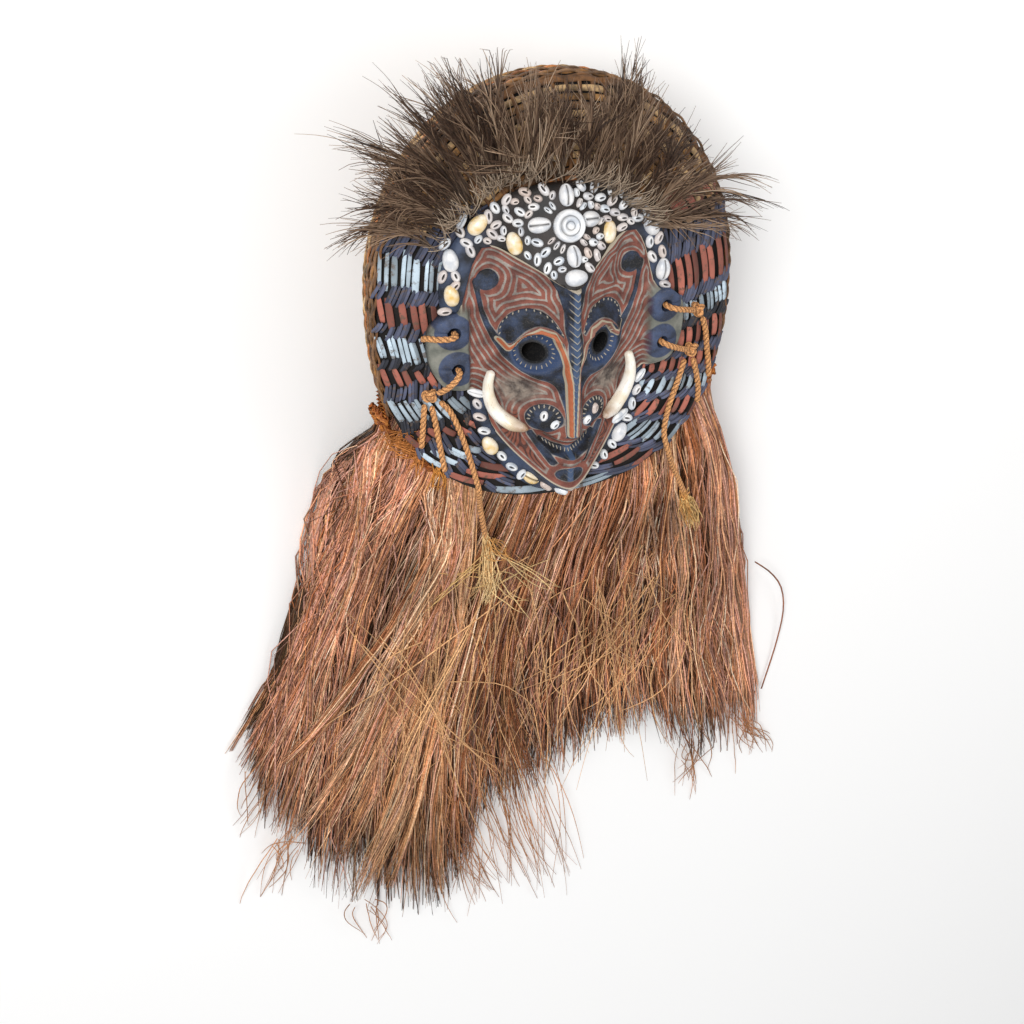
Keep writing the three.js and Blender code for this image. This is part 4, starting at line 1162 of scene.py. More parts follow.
# Small whelk shells, opening upwards: plan place on the border, then rows round the ring shell
BORDER_WHELKS = [
    (-101, 69), (-104, 41), (-93, 41), (-103, 10), (-94, 32), (-100, -2), (-83, 69), (-88, 79), (-80, 62),
    (-64, 90), (-58, 97), (-61, 75), (-48, 103), (-32, 108), (-17, 110), (16, 110), (30, 107),
    (46, 103), (58, 96), (70, 88), (71, 74), (80, 78), (83, 51), (92, 53), (96, 40), (86, 37), (100, 9),
    (-76, -79), (-74, -92), (-70, -106), (-54, -133), (-45, -145), (-36, -154), (-15, -166), (-4, -168),
    (9, -169), (22, -165), (34, -156), (44, -147), (52, -138), (66, -114), (71, -101), (75, -88)]
NOSTRIL_WHELKS = ((24, -87, 75), (15, -95, 60))
LEAF_SHELLS = [(-77, -68, 160, 17), (78, -74, 50, 15), (-86, 88, 60, 15)]
WHELK_PROFILE = [
    (0, 0.02), (0.22, 0.04), (0.38, 0.12), (0.45, 0.36), (0.52, 0.43), (0.66, 0.40), (0.80, 0.30),
    (0.92, 0.16), (1.0, 0.0), (0.9, -0.14), (0, -0.14)]
shell_random = random.Random(3)


def round_ring_shell(reach, degrees):
    turn = math.radians(degrees)
    return reach * math.cos(turn), RING_Y + reach * math.sin(turn)


def clear_of_cowries(x, y, gap):
    """Whether a small shell's middle keeps its distance from every cowrie and the ring shell"""
    for cx, cy, turn, length, _ in COWRIES.values():
        turn = math.radians(turn)
        long = (x - cx) * math.cos(turn) + (y - cy) * math.sin(turn)
        wide = (y - cy) * math.cos(turn) - (x - cx) * math.sin(turn)
        if math.hypot(long / (length / 2 + gap), wide / (length * COWRIE_WIDE / 2 + gap)) < 1:
            return False
    return math.hypot(x, y - RING_Y) > 14 + gap


def whelk_places():
    """Every small shell of the beds: plan place, turn, length and width"""
    rng = shell_random
    places = []

    def is_free(x, y, in_bed, off_face, off_cowries, apart):
        return (past_bed(x, y) < in_bed and past_face(x, y) >= off_face
                and clear_of_cowries(x, y, off_cowries)
                and all(math.hypot(x - px, y - py) >= apart for px, py, *_ in places))

    for index in range(24):
        turn = 15 * index + 7.5
        x, y = round_ring_shell(19.5, turn)
        if clear_of_cowries(x, y, 2.6):
            places.append((x, y, turn, 9.0, 4.4))
    places += [(x, y, rng.uniform(0, 180), rng.uniform(11.5, 13.5), 8.0) for x, y in BORDER_WHELKS]
    for row in range(8):
        reach = 29.5 + 9.3 * row
        count = int(2 * math.pi * reach / 9.6)
        for index in range(count):
            turn = 360 * (index + 0.5 * (row % 2) + rng.uniform(-0.12, 0.12)) / count
            x, y = round_ring_shell(reach + rng.uniform(-1.0, 1.0), turn)
            if abs(x) <= 80 and y >= 38 and is_free(x, y, -6, 4.5, 4.2, 8.2):
                turn += rng.uniform(-50, 50)
                places.append((x, y, turn, rng.uniform(10.0, 12.2), rng.uniform(7.0, 7.9)))
    for _ in range(5000):
        x, y = rng.uniform(-80, 80), rng.uniform(38, 116)
        if is_free(x, y, -5, 4, 2.7, 6.7):
            places.append((x, y, rng.uniform(0, 360), rng.uniform(7.8, 9.2), rng.uniform(5.8, 6.5)))
    return places


points, faces, rings = turned_form(WHELK_PROFILE, 14, (0.11, -0.09))
points[:, 1] *= np.interp(rings, [0, 3, 5, 8], [0.40, 0.46, 0.80, 1.0])
whelks = [set_down(points, x, y, turn, (length, width, 7.5), bed_top, 0.3)
          for x, y, turn, length, width in whelk_places()]
whelks += [set_down(points, side * x, y, turn, (10.5, 7.6, 6.5), carved_face_top, 0.2)
           for side in (-1, 1) for x, y, turn in NOSTRIL_WHELKS]
shell_piece("small_whelk_shells", whelks, faces, np.interp(rings, [2, 3, 4], [0.94, 0.45, 0.0]),
            [shell_random.random() ** 2 * 0.6 for _ in whelks])

points, faces, dark = cowrie_form(True, 14, 16)
leaves = [set_down(points, x, y, turn, (length, length * 0.45, 6), bed_top)
          for x, y, turn, length in LEAF_SHELLS]
shell_piece("leaf_shaped_shells", leaves, faces, dark * 0.4, 0.05)


# Boar tusks
# A tusk curls up each cheek from a stained root at the nostril, with fine lengthwise cracks.

TUSK_PLAN = [(36, -101), (49, -97), (60, -87), (66, -73), (67, -60), (64, -47)]
TUSK_HALVES = [5.4, 6.4, 6.3, 5.7, 4.8, 3.8]
TUSK_SIDES = 28

tusk_ivory, add = new_material("old_boar_tusk")
broad = add("TexNoise", Vector=add("TexCoord", out="Object"), Scale=55.0, Detail=4.0)
crack_place = add("CombineXYZ", add("Math", "tusk_along", 3.0, operation="MULTIPLY"),
                  add("Math", "tusk_around", 14.0, operation="MULTIPLY"))
cracks = add("TexNoise", Vector=crack_place, Scale=2.6, Detail=3.0)
ivory = add("Mix", add("MapRange", broad, 0.35, 0.7), "#f2eee6", "#dccbab", data_type="RGBA")
ivory = add("Mix", add("MapRange", cracks, 0.62, 0.68, 0.0, 0.55), ivory, "#8d6a45", data_type="RGBA")
stain = add("Math", add("MapRange", "tusk_along", 0.04, 0.24, 1.0, 0.0),
            add("MapRange", broad, 0.38, 0.6, 0.35, 1.0), operation="MULTIPLY")
add("Surface", Base_Color=add("Mix", stain, ivory, "#8a5f3a", data_type="RGBA"), Roughness=0.38,
    Normal=add("Bump", Strength=0.25, Distance=0.0004, Height=cracks))

for name, side in (("tusk_left", -1), ("tusk_right", 1)):
    x, y = (np.array(TUSK_PLAN) * (side, 1.0)).T
    line, _ = smooth_line(np.stack([x, y, face_top(x, y) + 4], 1), 1.2)
    _, across, over = frames_along(line)
    share = np.linspace(0, 1, len(line))
    halves = np.interp(share, np.linspace(0, 1, len(TUSK_HALVES)), TUSK_HALVES)
    halves = halves * np.sqrt(np.clip(np.minimum(share / 0.05, (1 - share) / 0.025), 0.06, 1))
    halves = halves * np.interp(share, [0, 0.14, 0.2, 1], [0.55, 0.9, 1, 1])
    around = np.linspace(0, 2 * np.pi, TUSK_SIDES, endpoint=False)
    worn = 1 + 0.03 * np.sin(3 * around + 1) + 0.02 * np.sin(5 * around)
    ring = across[:, None] * (np.cos(around) * worn)[:, None]
    ring = ring + over[:, None] * (np.sin(around) * worn)[:, None]
    points = line[:, None] + ring * halves[:, None, None]
    tusk = mesh_piece(name + "_ivory", points.reshape(-1, 3) * MM,
                      tube_triangles(1, len(line), TUSK_SIDES), tusk_ivory)
    measure(tusk, "tusk_along", np.repeat(share, TUSK_SIDES))
    measure(tusk, "tusk_around", np.tile(np.linspace(0, 1, TUSK_SIDES), len(line)))
    fit_piece(tusk, name)

# A leaf-shaped piece of shell lies at the root of the right tusk
points, faces, dark = cowrie_form(True, 14, 16)
leaf = set_down(points, 54, -108, 8, (24, 9, 6), face_top, -5.5)
shell_piece("shell_blade_at_tusk", [leaf], faces, dark * 0.15, 0.0)


# Feather crest
# Long dark feathers with hair-like barbs, bound by their quills along the top of the forehead. They
# stand up and lean back over the crown in plumes, with pale down round the quills.

# Root, bend and tip of each plume over the plan, from left to right
PLUMES = np.array([
    [(-107, 74), (-155, 107), (-200, 96)], [(-96, 89), (-142, 126), (-183, 125)],
    [(-96, 94), (-142, 136), (-178, 138)], [(-85, 98), (-124, 155), (-168, 160)],
    [(-80, 102), (-111, 165), (-150, 192)], [(-69, 112), (-98, 177), (-133, 212)],
    [(-64, 116), (-85, 184), (-113, 224)], [(-53, 120), (-68, 187), (-85, 226)],
    [(-42, 119), (-55, 173), (-69, 205)], [(-32, 120), (-40, 179), (-33, 216)],
    [(-21, 119), (-24, 170), (-28, 196)], [(-5, 120), (-16, 164), (-4, 194)],
    [(12, 116), (8, 162), (12, 185)], [(29, 111), (21, 160), (30, 193)],
    [(40, 105), (34, 164), (51, 211)], [(48, 98), (43, 161), (62, 200)],
    [(57, 92), (62, 145), (77, 169)], [(69, 82), (76, 134), (97, 147)],
    [(78, 76), (91, 120), (124, 123)], [(84, 67), (98, 93), (150, 66)]], float)
LONG_WISPS = np.array([
    [(-88, 98), (-134, 162), (-208, 165)], [(-85, 98), (-124, 163), (-194, 175)],
    [(-80, 102), (-111, 171), (-167, 218)], [(-64, 116), (-85, 184), (-118, 230)],
    [(40, 105), (34, 170), (56, 216)], [(80, 76), (116, 130), (186, 99)],
    [(81, 73), (125, 111), (181, 74)], [(81, 70), (121, 95), (176, 52)],
    [(-10, 124), (-60, 150), (-98, 152)], [(-36, 150), (-20, 172), (34, 160)]], float)
HAIR_SIDES = 3
feather_random = np.random.default_rng(21)


def hair_tubes(paths, widths):
    """Rings of many three-sided hairs at once, with paths as hair, step, place"""
    ahead = unit(np.gradient(paths, axis=1), 1e-9)
    side = unit(np.cross(ahead, (0.31, 0.17, 0.93)), 1e-9)
    lift = np.cross(side, ahead)
    around = np.linspace(0, 2 * np.pi, HAIR_SIDES, endpoint=False)
    ring = side[..., None, :] * np.cos(around)[:, None] + lift[..., None, :] * np.sin(around)[:, None]
    return paths[..., None, :] + ring * (widths / 2)[..., None, None]


def hair_piece(name, sets, material, layer):
    """Hairs as one mesh, from sets of paths, widths and the colour at every step"""
    points, colours, faces, first = [], [], [], 0
    for paths, widths, tones in sets:
        rings = hair_tubes(paths, widths)
        points.append(rings.reshape(-1, 3))
        colours.append(np.repeat(tones.reshape(-1, 4), HAIR_SIDES, axis=0))
        faces.append(tube_triangles(*rings.shape[:3]) + first)
        first += len(points[-1])
    piece = mesh_piece(name, np.concatenate(points) * MM, np.concatenate(faces), material)
    paint(piece, layer, np.concatenate(colours))
    return piece


def barb_paint(tones, share):
    """What the crest's paint reads: a barb's tone as red, and its share of the quill as green"""
    return np.stack(np.broadcast_arrays(tones[:, None], share, 0.0, 1.0), 2)


def plume_barbs(plumes, copies, count, spread, thick, steps, jitter=(5, 8, 11)):
    """Barbs that leave their plume's quill at a slant, as paths, widths and paint"""
    rng = feather_random
    quills = np.repeat(plumes, copies, axis=0)
    quills = quills + rng.normal(0, 1, quills.shape) * np.array(jitter)[:, None]
    height = np.array([206, 243, 226]) + rng.normal(0, 5, (len(quills), 3)) * (0.3, 1, 1)
    quills = np.concatenate([quills, height[..., None]], axis=2)
    pick = np.arange(count) % len(quills)
    from_share = rng.uniform(0.0, 0.66, (count, 1)) * (rng.random((count, 1)) > 0.06)
    to_share = from_share + rng.uniform(0.34, 0.62, (count, 1))
    to_share = np.minimum(to_share, rng.uniform(0.92, 1.06, (count, 1)))
    t = np.linspace(0, 1, steps)[None]
    share = from_share + (to_share - from_share) * t
    root, bend, tip = (quills[pick, None, k] for k in range(3))
    s = share[..., None]
    paths = root * (1 - s) ** 2 + bend * 2 * s * (1 - s) + tip * s ** 2
    ahead = unit(np.gradient(paths[..., :2], axis=1))
    sway = rng.normal(0, spread, (count, 1)) * t ** 1.5
    sway = sway + rng.normal(0, 1.3, (count, 1)) * np.sin(rng.uniform(3, 8, (count, 1)) * t) * t
    paths[..., 0] -= ahead[..., 1] * sway
    paths[..., 1] += ahead[..., 0] * sway
    paths[..., 2] += rng.normal(0, 5, (count, 1)) * t
    paths = np.minimum(paths, (300, 236, 251) - rng.uniform(0, 2.5, (count, 1, 1)))
    widths = thick * (1 - 0.72 * t ** 1.5) * rng.uniform(0.7, 1.25, (count, 1))
    tones = 0.5 * rng.beta(2, 2.6, len(quills))[pick] + 0.5 * rng.beta(1.6, 3, count)
    return paths, widths, barb_paint(tones, share)


def down_hairs(count):
    """Short pale hairs that fan out round the bound quills"""
    rng = feather_random
    at = rng.uniform(0, len(PLUMES) - 1, count)
    low = at.astype(int)
    part = (at - low)[:, None]
    root = PLUMES[low, 0] * (1 - part) + PLUMES[low + 1, 0] * part
    outward = unit(root)
    side = np.stack([-outward[:, 1], outward[:, 0]], 1)
    reach = rng.uniform(12, 30, (count, 1))
    tip = root + outward * reach + side * rng.normal(0, 8, (count, 1))
    start = np.concatenate([root + rng.normal(0, 2.5, (count, 2)), rng.uniform(203, 209, (count, 1))], 1)
    end = np.concatenate([tip, rng.uniform(216, 234, (count, 1))], 1)
    t = np.linspace(0, 1, 6)[None, :, None]
    paths = start[:, None] * (1 - t) + end[:, None] * t
    paths[..., 2] += 6 * np.sin(np.pi * t[..., 0])
    widths = 1.15 * (1 - 0.6 * t[..., 0]) * rng.uniform(0.8, 1.2, (count, 1))
    return paths, widths, barb_paint(rng.uniform(0.6, 1.0, count), 0.02 + 0.2 * t[..., 0])


dark_feather, add = new_material("dark_split_feather")
tone = add("SeparateColor", add("Attribute", attribute_name="hair_paint", out="Color"))
dark = "#180f0b"
for low, high, paler in ((0.0, 0.3, "#4c382b"), (0.3, 0.6, "#997e66"), (0.6, 1.0, "#d0bba2")):
    dark = add("Mix", add("MapRange", tone, low, high), dark, paler, data_type="RGBA")
downy = add("MapRange", tone.node.outputs["Green"], 0.04, 0.32, 0.75, 0.0)
down = add("Mix", tone, "#4b3c31", "#a39280", data_type="RGBA")
add("Surface", Base_Color=add("Mix", downy, dark, down, data_type="RGBA"), Roughness=0.5,
    Specular_IOR_Level=0.25)

crest = hair_piece("feather_crest_hair", [
    plume_barbs(PLUMES, 5, 2250, 10, 1.2, 8), plume_barbs(LONG_WISPS, 3, 270, 4.5, 1.1, 12, (4, 7, 9)),
    down_hairs(280)], dark_feather, "hair_paint")
fit_piece(crest, "feather_crest")


# Fibre skirt
# Thousands of split leaf fibres hang in locks from a plaited heading under the helmet's rim. As it
# lies, they fall from the round rim to the floor, sweep to the left and end raggedly.

# Root, turn and tip of the lines that the fibres follow, from left to right
FIBRE_LINES = np.array([
    [(-147, -97), (-158, -336), (-290, -548)], [(-128, -97), (-200, -380), (-268, -652)],
    [(-98, -97), (-186, -420), (-212, -745)], [(-62, -97), (-140, -440), (-140, -815)],
    [(-30, -97), (-100, -440), (-84, -850)], [(-5, -97), (-58, -430), (-42, -800)],
    [(20, -97), (-20, -420), (-12, -700)], [(48, -97), (40, -400), (52, -668)],
    [(76, -97), (90, -390), (122, -622)], [(104, -97), (135, -385), (175, -622)],
    [(130, -97), (200, -390), (250, -684)], [(152, -97), (265, -380), (316, -702)],
    [(172, -97), (300, -340), (345, -672)]], float)
SWEPT_LINES = np.array([
    [(-100, -100), (-76, -370), (-264, -560)], [(-93, -100), (-58, -420), (-246, -655)],
    [(-86, -100), (-40, -450), (-206, -745)], [(-76, -100), (-30, -470), (-146, -800)]], float)
SKIRT_RIDGE = np.array([
    (-870, 22), (-700, 36), (-560, 50), (-430, 78), (-330, 115), (-240, 158), (-180, 180),
    (-95, 184)], float)
SKIRT_SELVEDGE = np.array([[(0, 0)] * 3, [(4, 0), (9, 0), (11, 0)], [(0, 0)] * 3])
SETTLE_LENGTH = 150                  # how far below the rim the fibres reach the floor
FIBRE_TONES = np.array([linear(tone)[:3] for tone in (
    "#6a3e26", "#a0633f", "#c88a62", "#d6a070", "#cc9a87", "#e8c29c", "#f0dcc0", "#b07a66")])
RED_SHARES = (0.12, 0.18, 0.20, 0.11, 0.21, 0.08, 0.03, 0.07)
GOLD_SHARES = (0.07, 0.15, 0.21, 0.27, 0.10, 0.15, 0.03, 0.02)
skirt_random = np.random.default_rng(8)


def skirt_edges(y):
    fall = HOOD_RIM - y
    right = 174 + 0.75 * fall - 0.00095 * fall ** 2 + 55 * ease(fall, 400, 580)
    return -156 - 0.1 * fall - 0.0004 * fall ** 2, right


def skirt_top(x, y):
    """Height of the skirt's upper face over the plan"""
    height = np.interp(y, SKIRT_RIDGE[:, 0], SKIRT_RIDGE[:, 1])
    left, right = skirt_edges(y)
    across = (x - (left + right) / 2) / ((right - left) / 2)
    rim_share = 0.8 * (1 - ease(HOOD_RIM - y, 0, SETTLE_LENGTH))
    section = np.maximum(np.clip(1 - np.abs(across) ** 4.5, 0, 1) ** 0.6, rim_share)
    free = 6 + (height - 6) * section
    return np.where(y > -BIB, np.minimum(free, shield_top(x, y) - 16), free)


def skirt_underside(x, y):
    """Height of the hanging fibres' underside: the hood's round rim, then the floor"""
    hung = hood_back(x, np.full(np.shape(x), float(HOOD_RIM))) * (1 - ease(HOOD_RIM - y, 0, SETTLE_LENGTH))
    return np.clip(np.minimum(hung, skirt_top(x, y) - 14), 0, None)


def fibre_place(lines, u, v):
    """Plan place of a fibre: u across the lines from left to right, v along them"""
    slot = np.clip(u, 0, 1) * (len(lines) - 1)
    low = np.clip(slot.astype(int), 0, len(lines) - 2)
    part = (slot - low)[..., None]
    root, turn, tip = (lines[low, k] * (1 - part) + lines[low + 1, k] * part for k in range(3))
    v = v[..., None]
    return root * (1 - v) ** 2 + turn * 2 * v * (1 - v) + tip * v ** 2


def wander(count, steps, slow, fast, reach):
    """Soft random waves along many fibres, still at the root"""
    v = np.linspace(0, 1, steps)[None]
    waves = 0
    for turns in (slow, (slow + fast) / 2, fast):
        pace = skirt_random.uniform(0.7, 1.3, (count, 1)) * turns
        waves = waves + skirt_random.normal(0, reach * slow / turns, (count, 1)) * np.sin(
            pace * v + skirt_random.uniform(0, 6.3, (count, 1)))
    return waves * np.minimum(v * 5, 1)


def fibre_set(count, steps, locks, depths, lengths, thick, lines=FIBRE_LINES, loose=1.0, lift=0,
              shares=RED_SHARES):
    """Fibres gathered into locks, as paths, widths and colours"""
    rng = skirt_random
    v = np.linspace(0, 1, steps)[None]
    lock = rng.integers(0, locks, count)
    lock_u = ((np.arange(locks) + rng.uniform(0.1, 0.9, locks)) / locks)[lock][:, None]
    within = np.clip(rng.normal(0, 0.45, (count, 1)), -1.1, 1.1)
    wisp = np.round(within * 3) / 3
    pinch = 1 - 0.7 * v ** 0.6 + 0.3 * np.sin(8 * v + 6.3 * lock_u * 13) * v
    astray = rng.normal(0, 1, (count, 1)) * rng.choice((0.006, 0.03, 0.09), (count, 1), p=(0.64, 0.27, 0.09))
    drift = rng.normal(0, 0.016, locks)[lock][:, None] + 0.012 * wisp + loose * astray
    u = lock_u + within / locks * pinch + drift * v ** 1.25
    u = 1 - np.abs(1 - np.abs(u))
    length = rng.uniform(*lengths, locks)[lock][:, None] * (1 - 0.2 * rng.random((count, 1)) ** 2.5)
    place = fibre_place(lines, u, v * length)
    waves = wander(locks, steps, 5, 14, 7)[lock] + wander(count, steps, 9, 26, 3.4 * loose)
    from_edge = np.minimum(u, 1 - u)
    x = place[..., 0] + waves * np.clip(from_edge * 20, 0.3, 1)
    y = place[..., 1] + wander(count, steps, 7, 20, 1.2)
    depth = rng.uniform(*depths, (count, 1))
    x = x + 18 * depth * np.clip(1 - u / 0.16, 0, 1) * ease(v, 0, 0.1) * (1 - ease(v, 0.4, 0.8))
    top, under = skirt_top(x, y), skirt_underside(x, y)
    hollow = 25 * np.minimum(np.abs(within), 1) ** 1.4 + rng.uniform(0, 16, locks)[lock][:, None]
    hollow = hollow * ease(v, 0.06, 0.3) * np.clip(top / 60, 0.15, 1) * (1 - np.minimum(lift, 1) * 0.6)
    z = under + (top - under) * (1 - depth) - hollow + lift * ease(v, 0.12, 0.35)
    z = np.maximum(z + wander(count, steps, 6, 17, 1.0), 1.3 + rng.uniform(0, 3, (count, 1)))
    widths = thick * np.interp(v, [0, 0.5, 0.9, 1], [1, 1, 0.75, 0.3]) * rng.uniform(0.6, 1.35, (count, 1))
    own = rng.choice(len(FIBRE_TONES), count, p=shares)
    together = rng.choice(len(FIBRE_TONES), locks, p=shares)[lock]
    colours = 0.3 * FIBRE_TONES[together] + 0.7 * FIBRE_TONES[own]
    # Fibres deep in the pile, far from its sides and off the middle of their locks are darkened: painted
    # shade.
    inward = np.clip((from_edge.mean(axis=1, keepdims=True) - 0.045) * 40, 0.2, 4.8)
    painted_pile_shade = np.minimum(depth, 1.1 - depth) * inward
    painted_pile_shade = np.clip(painted_pile_shade + np.abs(within) * 0.35, 0, 0.88)
    return np.stack([x, y, z], 2), widths, colours * (1 - painted_pile_shade) * rng.uniform(0.7, 1.75, (count, 1))


def strays(starts, ends, count, spread, bow, thick, tone):
    """Single fibres between two places, spread and bowed at random"""
    rng = skirt_random
    t = np.linspace(0, 1, 12)[None, :, None]
    pick = rng.integers(0, len(starts), count)
    start = np.array(starts, float)[pick] + rng.normal(0, spread, (count, 3)) * (1, 1, 0.2)
    end = np.array(ends, float)[pick] + rng.normal(0, spread * 1.6, (count, 3)) * (1, 1, 0.2)
    paths = start[:, None] * (1 - t) + end[:, None] * t
    paths = paths + rng.normal(0, bow, (count, 1, 3)) * (1, 1, 0.3) * np.sin(np.pi * t)
    paths[..., 0] += wander(count, 12, 6, 17, bow * 0.1)
    paths = np.clip(paths, (-300, -872, 1.2), (368, 0, 300))
    widths = thick * np.interp(t[..., 0], [0, 0.7, 1], [1, 0.9, 0.4]) * rng.uniform(0.7, 1.2, (count, 1))
    return paths, widths, np.array(linear(tone)[:3]) * rng.uniform(0.75, 1.2, (count, 1))


def fibre_piece(name, sets, stands_for=None):
    """Fibres as one mesh, each with a colour of its own, and how far along it is as the alpha"""
    toned = []
    for paths, widths, colours in sets:
        count, steps = widths.shape
        along = np.tile(np.linspace(0, 1, steps), (count, 1))
        toned.append((paths, widths, np.dstack([np.repeat(colours[:, None], steps, axis=1), along])))
    fit_piece(hair_piece(name, toned, skirt_fibre, "fibre_paint"), stands_for)


skirt_fibre, add = new_material("dyed_leaf_fibre")
own = add("Attribute", attribute_name="fibre_paint", out="Color")
spots = add("TexCoord", out="Object")
broad = add("TexNoise", Vector=spots, Scale=11.0, Detail=2.0)
fine = add("TexNoise", Vector=spots, Scale=330.0, Detail=2.0)
# Besides random tone, the fibres darken towards their roots under the heading: painted shade.
shade = add("Math", add("MapRange", broad, 0.32, 0.68, 0.7, 1.25),
            add("MapRange", own.node.outputs["Alpha"], 0.0, 0.22, 0.8, 1.0), operation="MULTIPLY")
shade = add("Math", shade, add("MapRange", fine, 0.3, 0.7, 0.66, 1.3), operation="MULTIPLY")
add("Surface", Base_Color=add("VectorMath", own, shade, operation="SCALE"), Roughness=0.5,
    Specular_IOR_Level=0.15)

fibre_piece("skirt_fibre_upper", [
    fibre_set(1460, 17, 42, (0.0, 0.07), (0.86, 1.0), 1.55),
    fibre_set(430, 17, 11, (0.0, 0.04), (0.80, 1.0), 1.45, SWEPT_LINES, 1.4, 7, GOLD_SHARES)], "fibre_skirt")
fibre_piece("skirt_fibre_loose", [
    fibre_set(760, 15, 60, (0.0, 0.14), (0.80, 1.0), 1.35, loose=2.2),
    fibre_set(900, 12, 36, (0.12, 0.30), (0.86, 1.0), 2.0),
    fibre_set(260, 15, 9, (0.1, 1.0), (0.9, 1.0), 1.9, FIBRE_LINES[[0, 0, 1]] + SKIRT_SELVEDGE, 0.7, 0,
              GOLD_SHARES),
    strays([(-30, -300, 130), (70, -330, 120), (-110, -360, 110), (150, -380, 90)],
           [(-80, -520, 74), (130, -520, 68), (-60, -600, 60), (90, -560, 60)], 90, 34, 16, 1.3, "#dcaa78"),
    strays([(-30, -560, 44), (10, -540, 40), (-70, -640, 40)],
           [(34, -800, 2), (80, -818, 2), (-10, -822, 2)], 70, 12, 14, 1.15, "#bd8459"),
    strays([(-262, -560, 26), (-236, -660, 22), (-150, -780, 20), (320, -640, 14), (250, -660, 18)],
           [(-284, -640, 2), (-268, -730, 2), (-150, -858, 2), (352, -700, 2), (268, -726, 2)],
           70, 10, 7, 1.2, "#bd8459")])
fibre_piece("skirt_fibre_lower", [
    fibre_set(560, 10, 50, (0.90, 1.0), (0.84, 1.0), 2.6),
    fibre_set(420, 10, 40, (0.3, 0.6), (0.84, 1.0), 2.6)])

curl, _ = smooth_line([(308, -412, 30), (332, -434, 24), (352, -462, 16), (362, -498, 9),
                       (360, -545, 4), (346, -612, 2)], 14)
fibre_piece("skirt_curled_fibre", [
    (curl[None], np.full((1, len(curl)), 2.0), np.array([linear("#9a5f42")[:3]]))])

shade_sheet_finish, add = new_material("dark_sheet_as_pile_shade")
streak = add("Mapping", Vector=add("Attribute", attribute_name="mat_place", out="Vector"),
             Scale=(330.0, 9.0, 1.0))
grain = add("MapRange", add("TexNoise", Vector=streak, Scale=1.0, Detail=3.0), 0.42, 0.68)
add("Surface", Base_Color=add("Mix", grain, "#180c06", "#6a3618", data_type="RGBA"), Roughness=0.9)

# A dark sheet under the fibres, painted shade for the gaps between them: a grid over the plan, with the same
# grid a little lower as its underside
columns, rows = 64, 44
u, v = np.meshgrid(np.linspace(0.09, 0.95, columns), np.linspace(0, 0.84, rows))
place = fibre_place(FIBRE_LINES, u, v)
sunk = 8 + 30 * (1 - ease(np.minimum(u, 1 - u), 0.06, 0.18)) * ease(v, 0.0, 0.15)
mat_top = np.maximum(skirt_top(place[..., 0], place[..., 1]) * 0.84 - sunk, 2.0)
mat_top = np.maximum(mat_top, skirt_underside(place[..., 0], place[..., 1]) + 2)
mat_low = np.maximum(mat_top - 4, 0.4)
grid = np.concatenate([np.dstack([place, level]).reshape(-1, 3) for level in (mat_top, mat_low)])
cell = (np.arange(rows - 1)[:, None] * columns + np.arange(columns - 1)).ravel()
under = columns * rows
edge = np.concatenate([
    np.arange(columns), columns - 1 + columns * np.arange(1, rows),
    columns * rows - 2 - np.arange(columns - 1), columns * (rows - 2 - np.arange(rows - 2))])
after = np.roll(edge, -1)
mat_faces = np.concatenate([
    np.stack([cell, cell + columns, cell + 1], 1),
    np.stack([cell + 1, cell + columns, cell + columns + 1], 1),
    np.stack([cell + under, cell + 1 + under, cell + columns + under], 1),
    np.stack([cell + 1 + under, cell + columns + 1 + under, cell + columns + under], 1),
    np.stack([edge, after, after + under], 1), np.stack([edge, after + under, edge + under], 1)])
mat = mesh_piece("skirt_shade_sheet", grid * MM, mat_faces, shade_sheet_finish)
paint(mat, "mat_place", np.tile(np.stack([u, v, 0 * u, 1 + 0 * u], 2).reshape(-1, 4), (2, 1)))
fit_piece(mat)


# Plaited heading
# A three-strand plait of the same orange fibre runs round under the helmet's edge, and the skirt's
# fibres are doubled over it. The ear cords end in pale frayed bundles, one with a loose tangle.

PLAIT_EDGE = [(-152, -99, 134), (-152, -100, 150), (-147, -108, 158), (-134, -124, 160), (-115, -146, 160),
              (-90, -165, 160), (-50, -179, 160), (10, -184, 160), (70, -179, 160), (110, -165, 160),
              (138, -144, 160), (160, -118, 159), (172, -100, 150), (172, -99, 134)]
turn = np.radians(np.linspace(8, 172, 19))
PLAIT_BACK = [(x, -99, float(hood_back(x, HOOD_RIM)) + 3) for x in HELMET_X + 160 * np.cos(turn)]
PLAIT_LAY, PLAIT_WIDE, PLAIT_DEEP = 24, 4.2, 2.4
PLAIT_TWIST, PLAIT_THICK = 1.25, 4.6 * 0.62
plait_line, plait_length = smooth_line([*PLAIT_EDGE, *PLAIT_BACK, PLAIT_EDGE[0]], 2.6)
plait_line = plait_line[:-1]
ahead, _, _ = frames_along(plait_line, closed=True)
out = plait_line - (HELMET_X, -60, 92)
out = unit(out - ahead * (out * ahead).sum(axis=1)[:, None])
across = np.cross(ahead, out)
turns = round(plait_length / PLAIT_LAY)
phase = 2 * np.pi * turns * np.arange(len(plait_line) + 1) / len(plait_line)
closed = np.arange(len(plait_line) + 1) % len(plait_line)
plait_strands = []
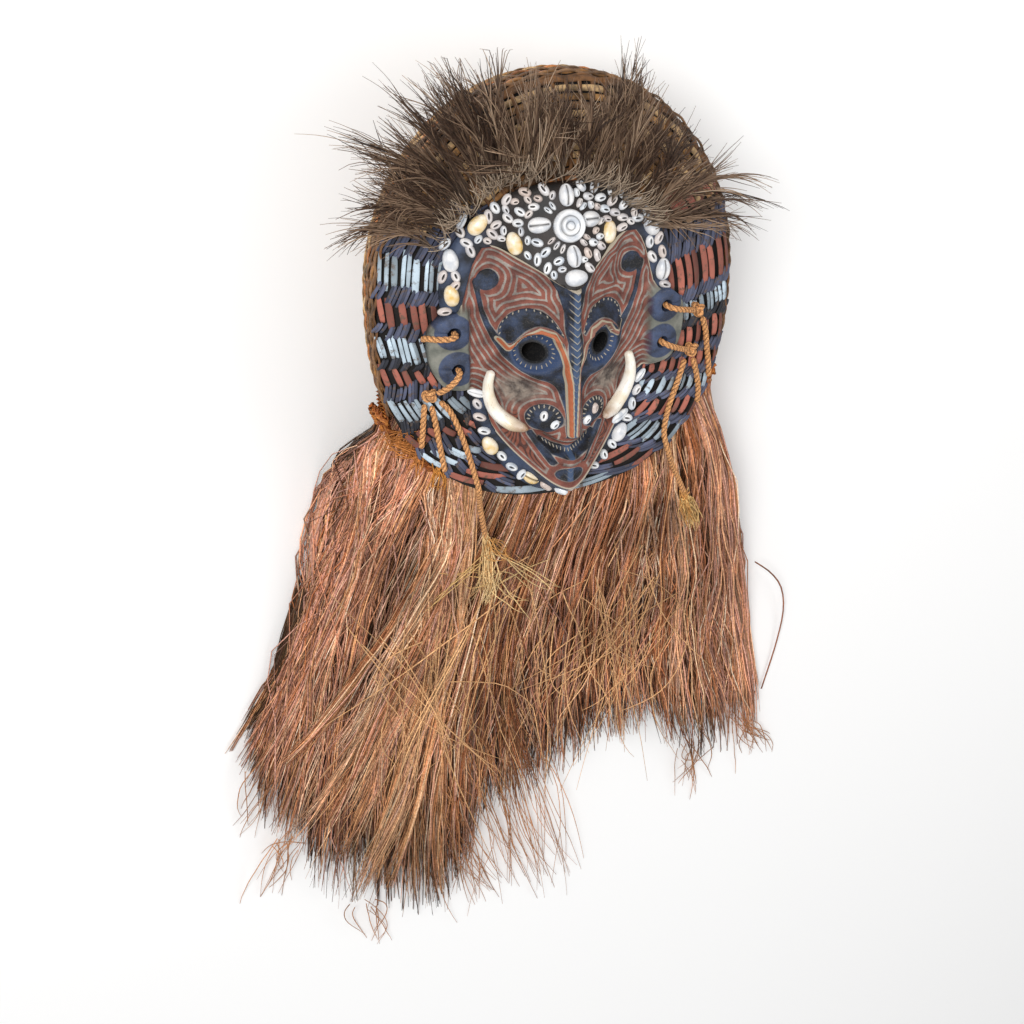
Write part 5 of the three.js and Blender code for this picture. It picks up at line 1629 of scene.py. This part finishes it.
for strand in range(3):
    swing = phase + 2 * np.pi * strand / 3
    line = plait_line[closed] + across[closed] * (PLAIT_WIDE * np.sin(swing))[:, None]
    line = line + out[closed] * (2 + PLAIT_DEEP * np.sin(2 * swing))[:, None]
    for a in (0.0, 2.1, 4.2):
        twist = line + across[closed] * (PLAIT_TWIST * np.cos(a + swing))[:, None]
        plait_strands.append(twist + out[closed] * (PLAIT_TWIST * np.sin(a + swing))[:, None])
plait_strands = np.array(plait_strands)
plait_tones = np.array([linear(tone)[:3] for tone in ("#b06a36", "#c8803f", "#95532a")] * 3)
fibre_piece("plaited_heading", [
    (plait_strands, np.full(plait_strands.shape[:2], PLAIT_THICK), plait_tones)])

fibre_piece("frayed_cord_ends", [
    strays([(-57, -238, 164), (-52, -258, 157)],
           [(-41, -306, 134), (-44, -322, 124)], 40, 3.0, 2.5, 1.4, "#e6c088"),
    strays([(-43, -290, 140)], [(-40, -334, 121)], 24, 3.4, 3, 1.3, "#ecca94"),
    strays([(-50, -262, 152), (-36, -300, 134), (-40, -322, 126)],
           [(26, -334, 126), (-2, -352, 122), (14, -300, 130), (-14, -324, 126)], 11, 5, 6, 1.3, "#e9c68c"),
    strays([(-50, -270, 150), (-44, -306, 134)],
           [(-100, -322, 128), (-82, -286, 136), (-84, -346, 122)], 8, 6, 8, 1.2, "#e2b878"),
    strays([(-54, -240, 164)], [(-30, -272, 152)], 12, 3, 5, 1.2, "#cf9656"),
    strays([(151, -232, 164)], [(167, -274, 148)], 36, 3.0, 4, 1.4, "#e2b878"),
    strays([(146, -222, 166)], [(160, -262, 156), (178, -262, 148)], 10, 3, 4, 1.2, "#cf9656"),
    strays([(-146, -116, 174), (-131, -122, 172), (-111, -128, 172)],
           [(-131, -122, 176), (-111, -134, 172), (-146, -114, 176)], 70, 4, 6, 1.6, "#b9773f"),
    strays([(-124, -118, 178)], [(-127, -150, 172)], 12, 3, 4, 1.4, "#b9773f"),
    strays([(-106, -142, 184)], [(-104, -170, 172)], 12, 3, 4, 1.4, "#c8863f")])


# Sizes
# The box of the solids and the box of the finished model, which have to agree.

for low, high in (cad_box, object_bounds()):
    json.dumps([list(low), list(high)]) + "\n"
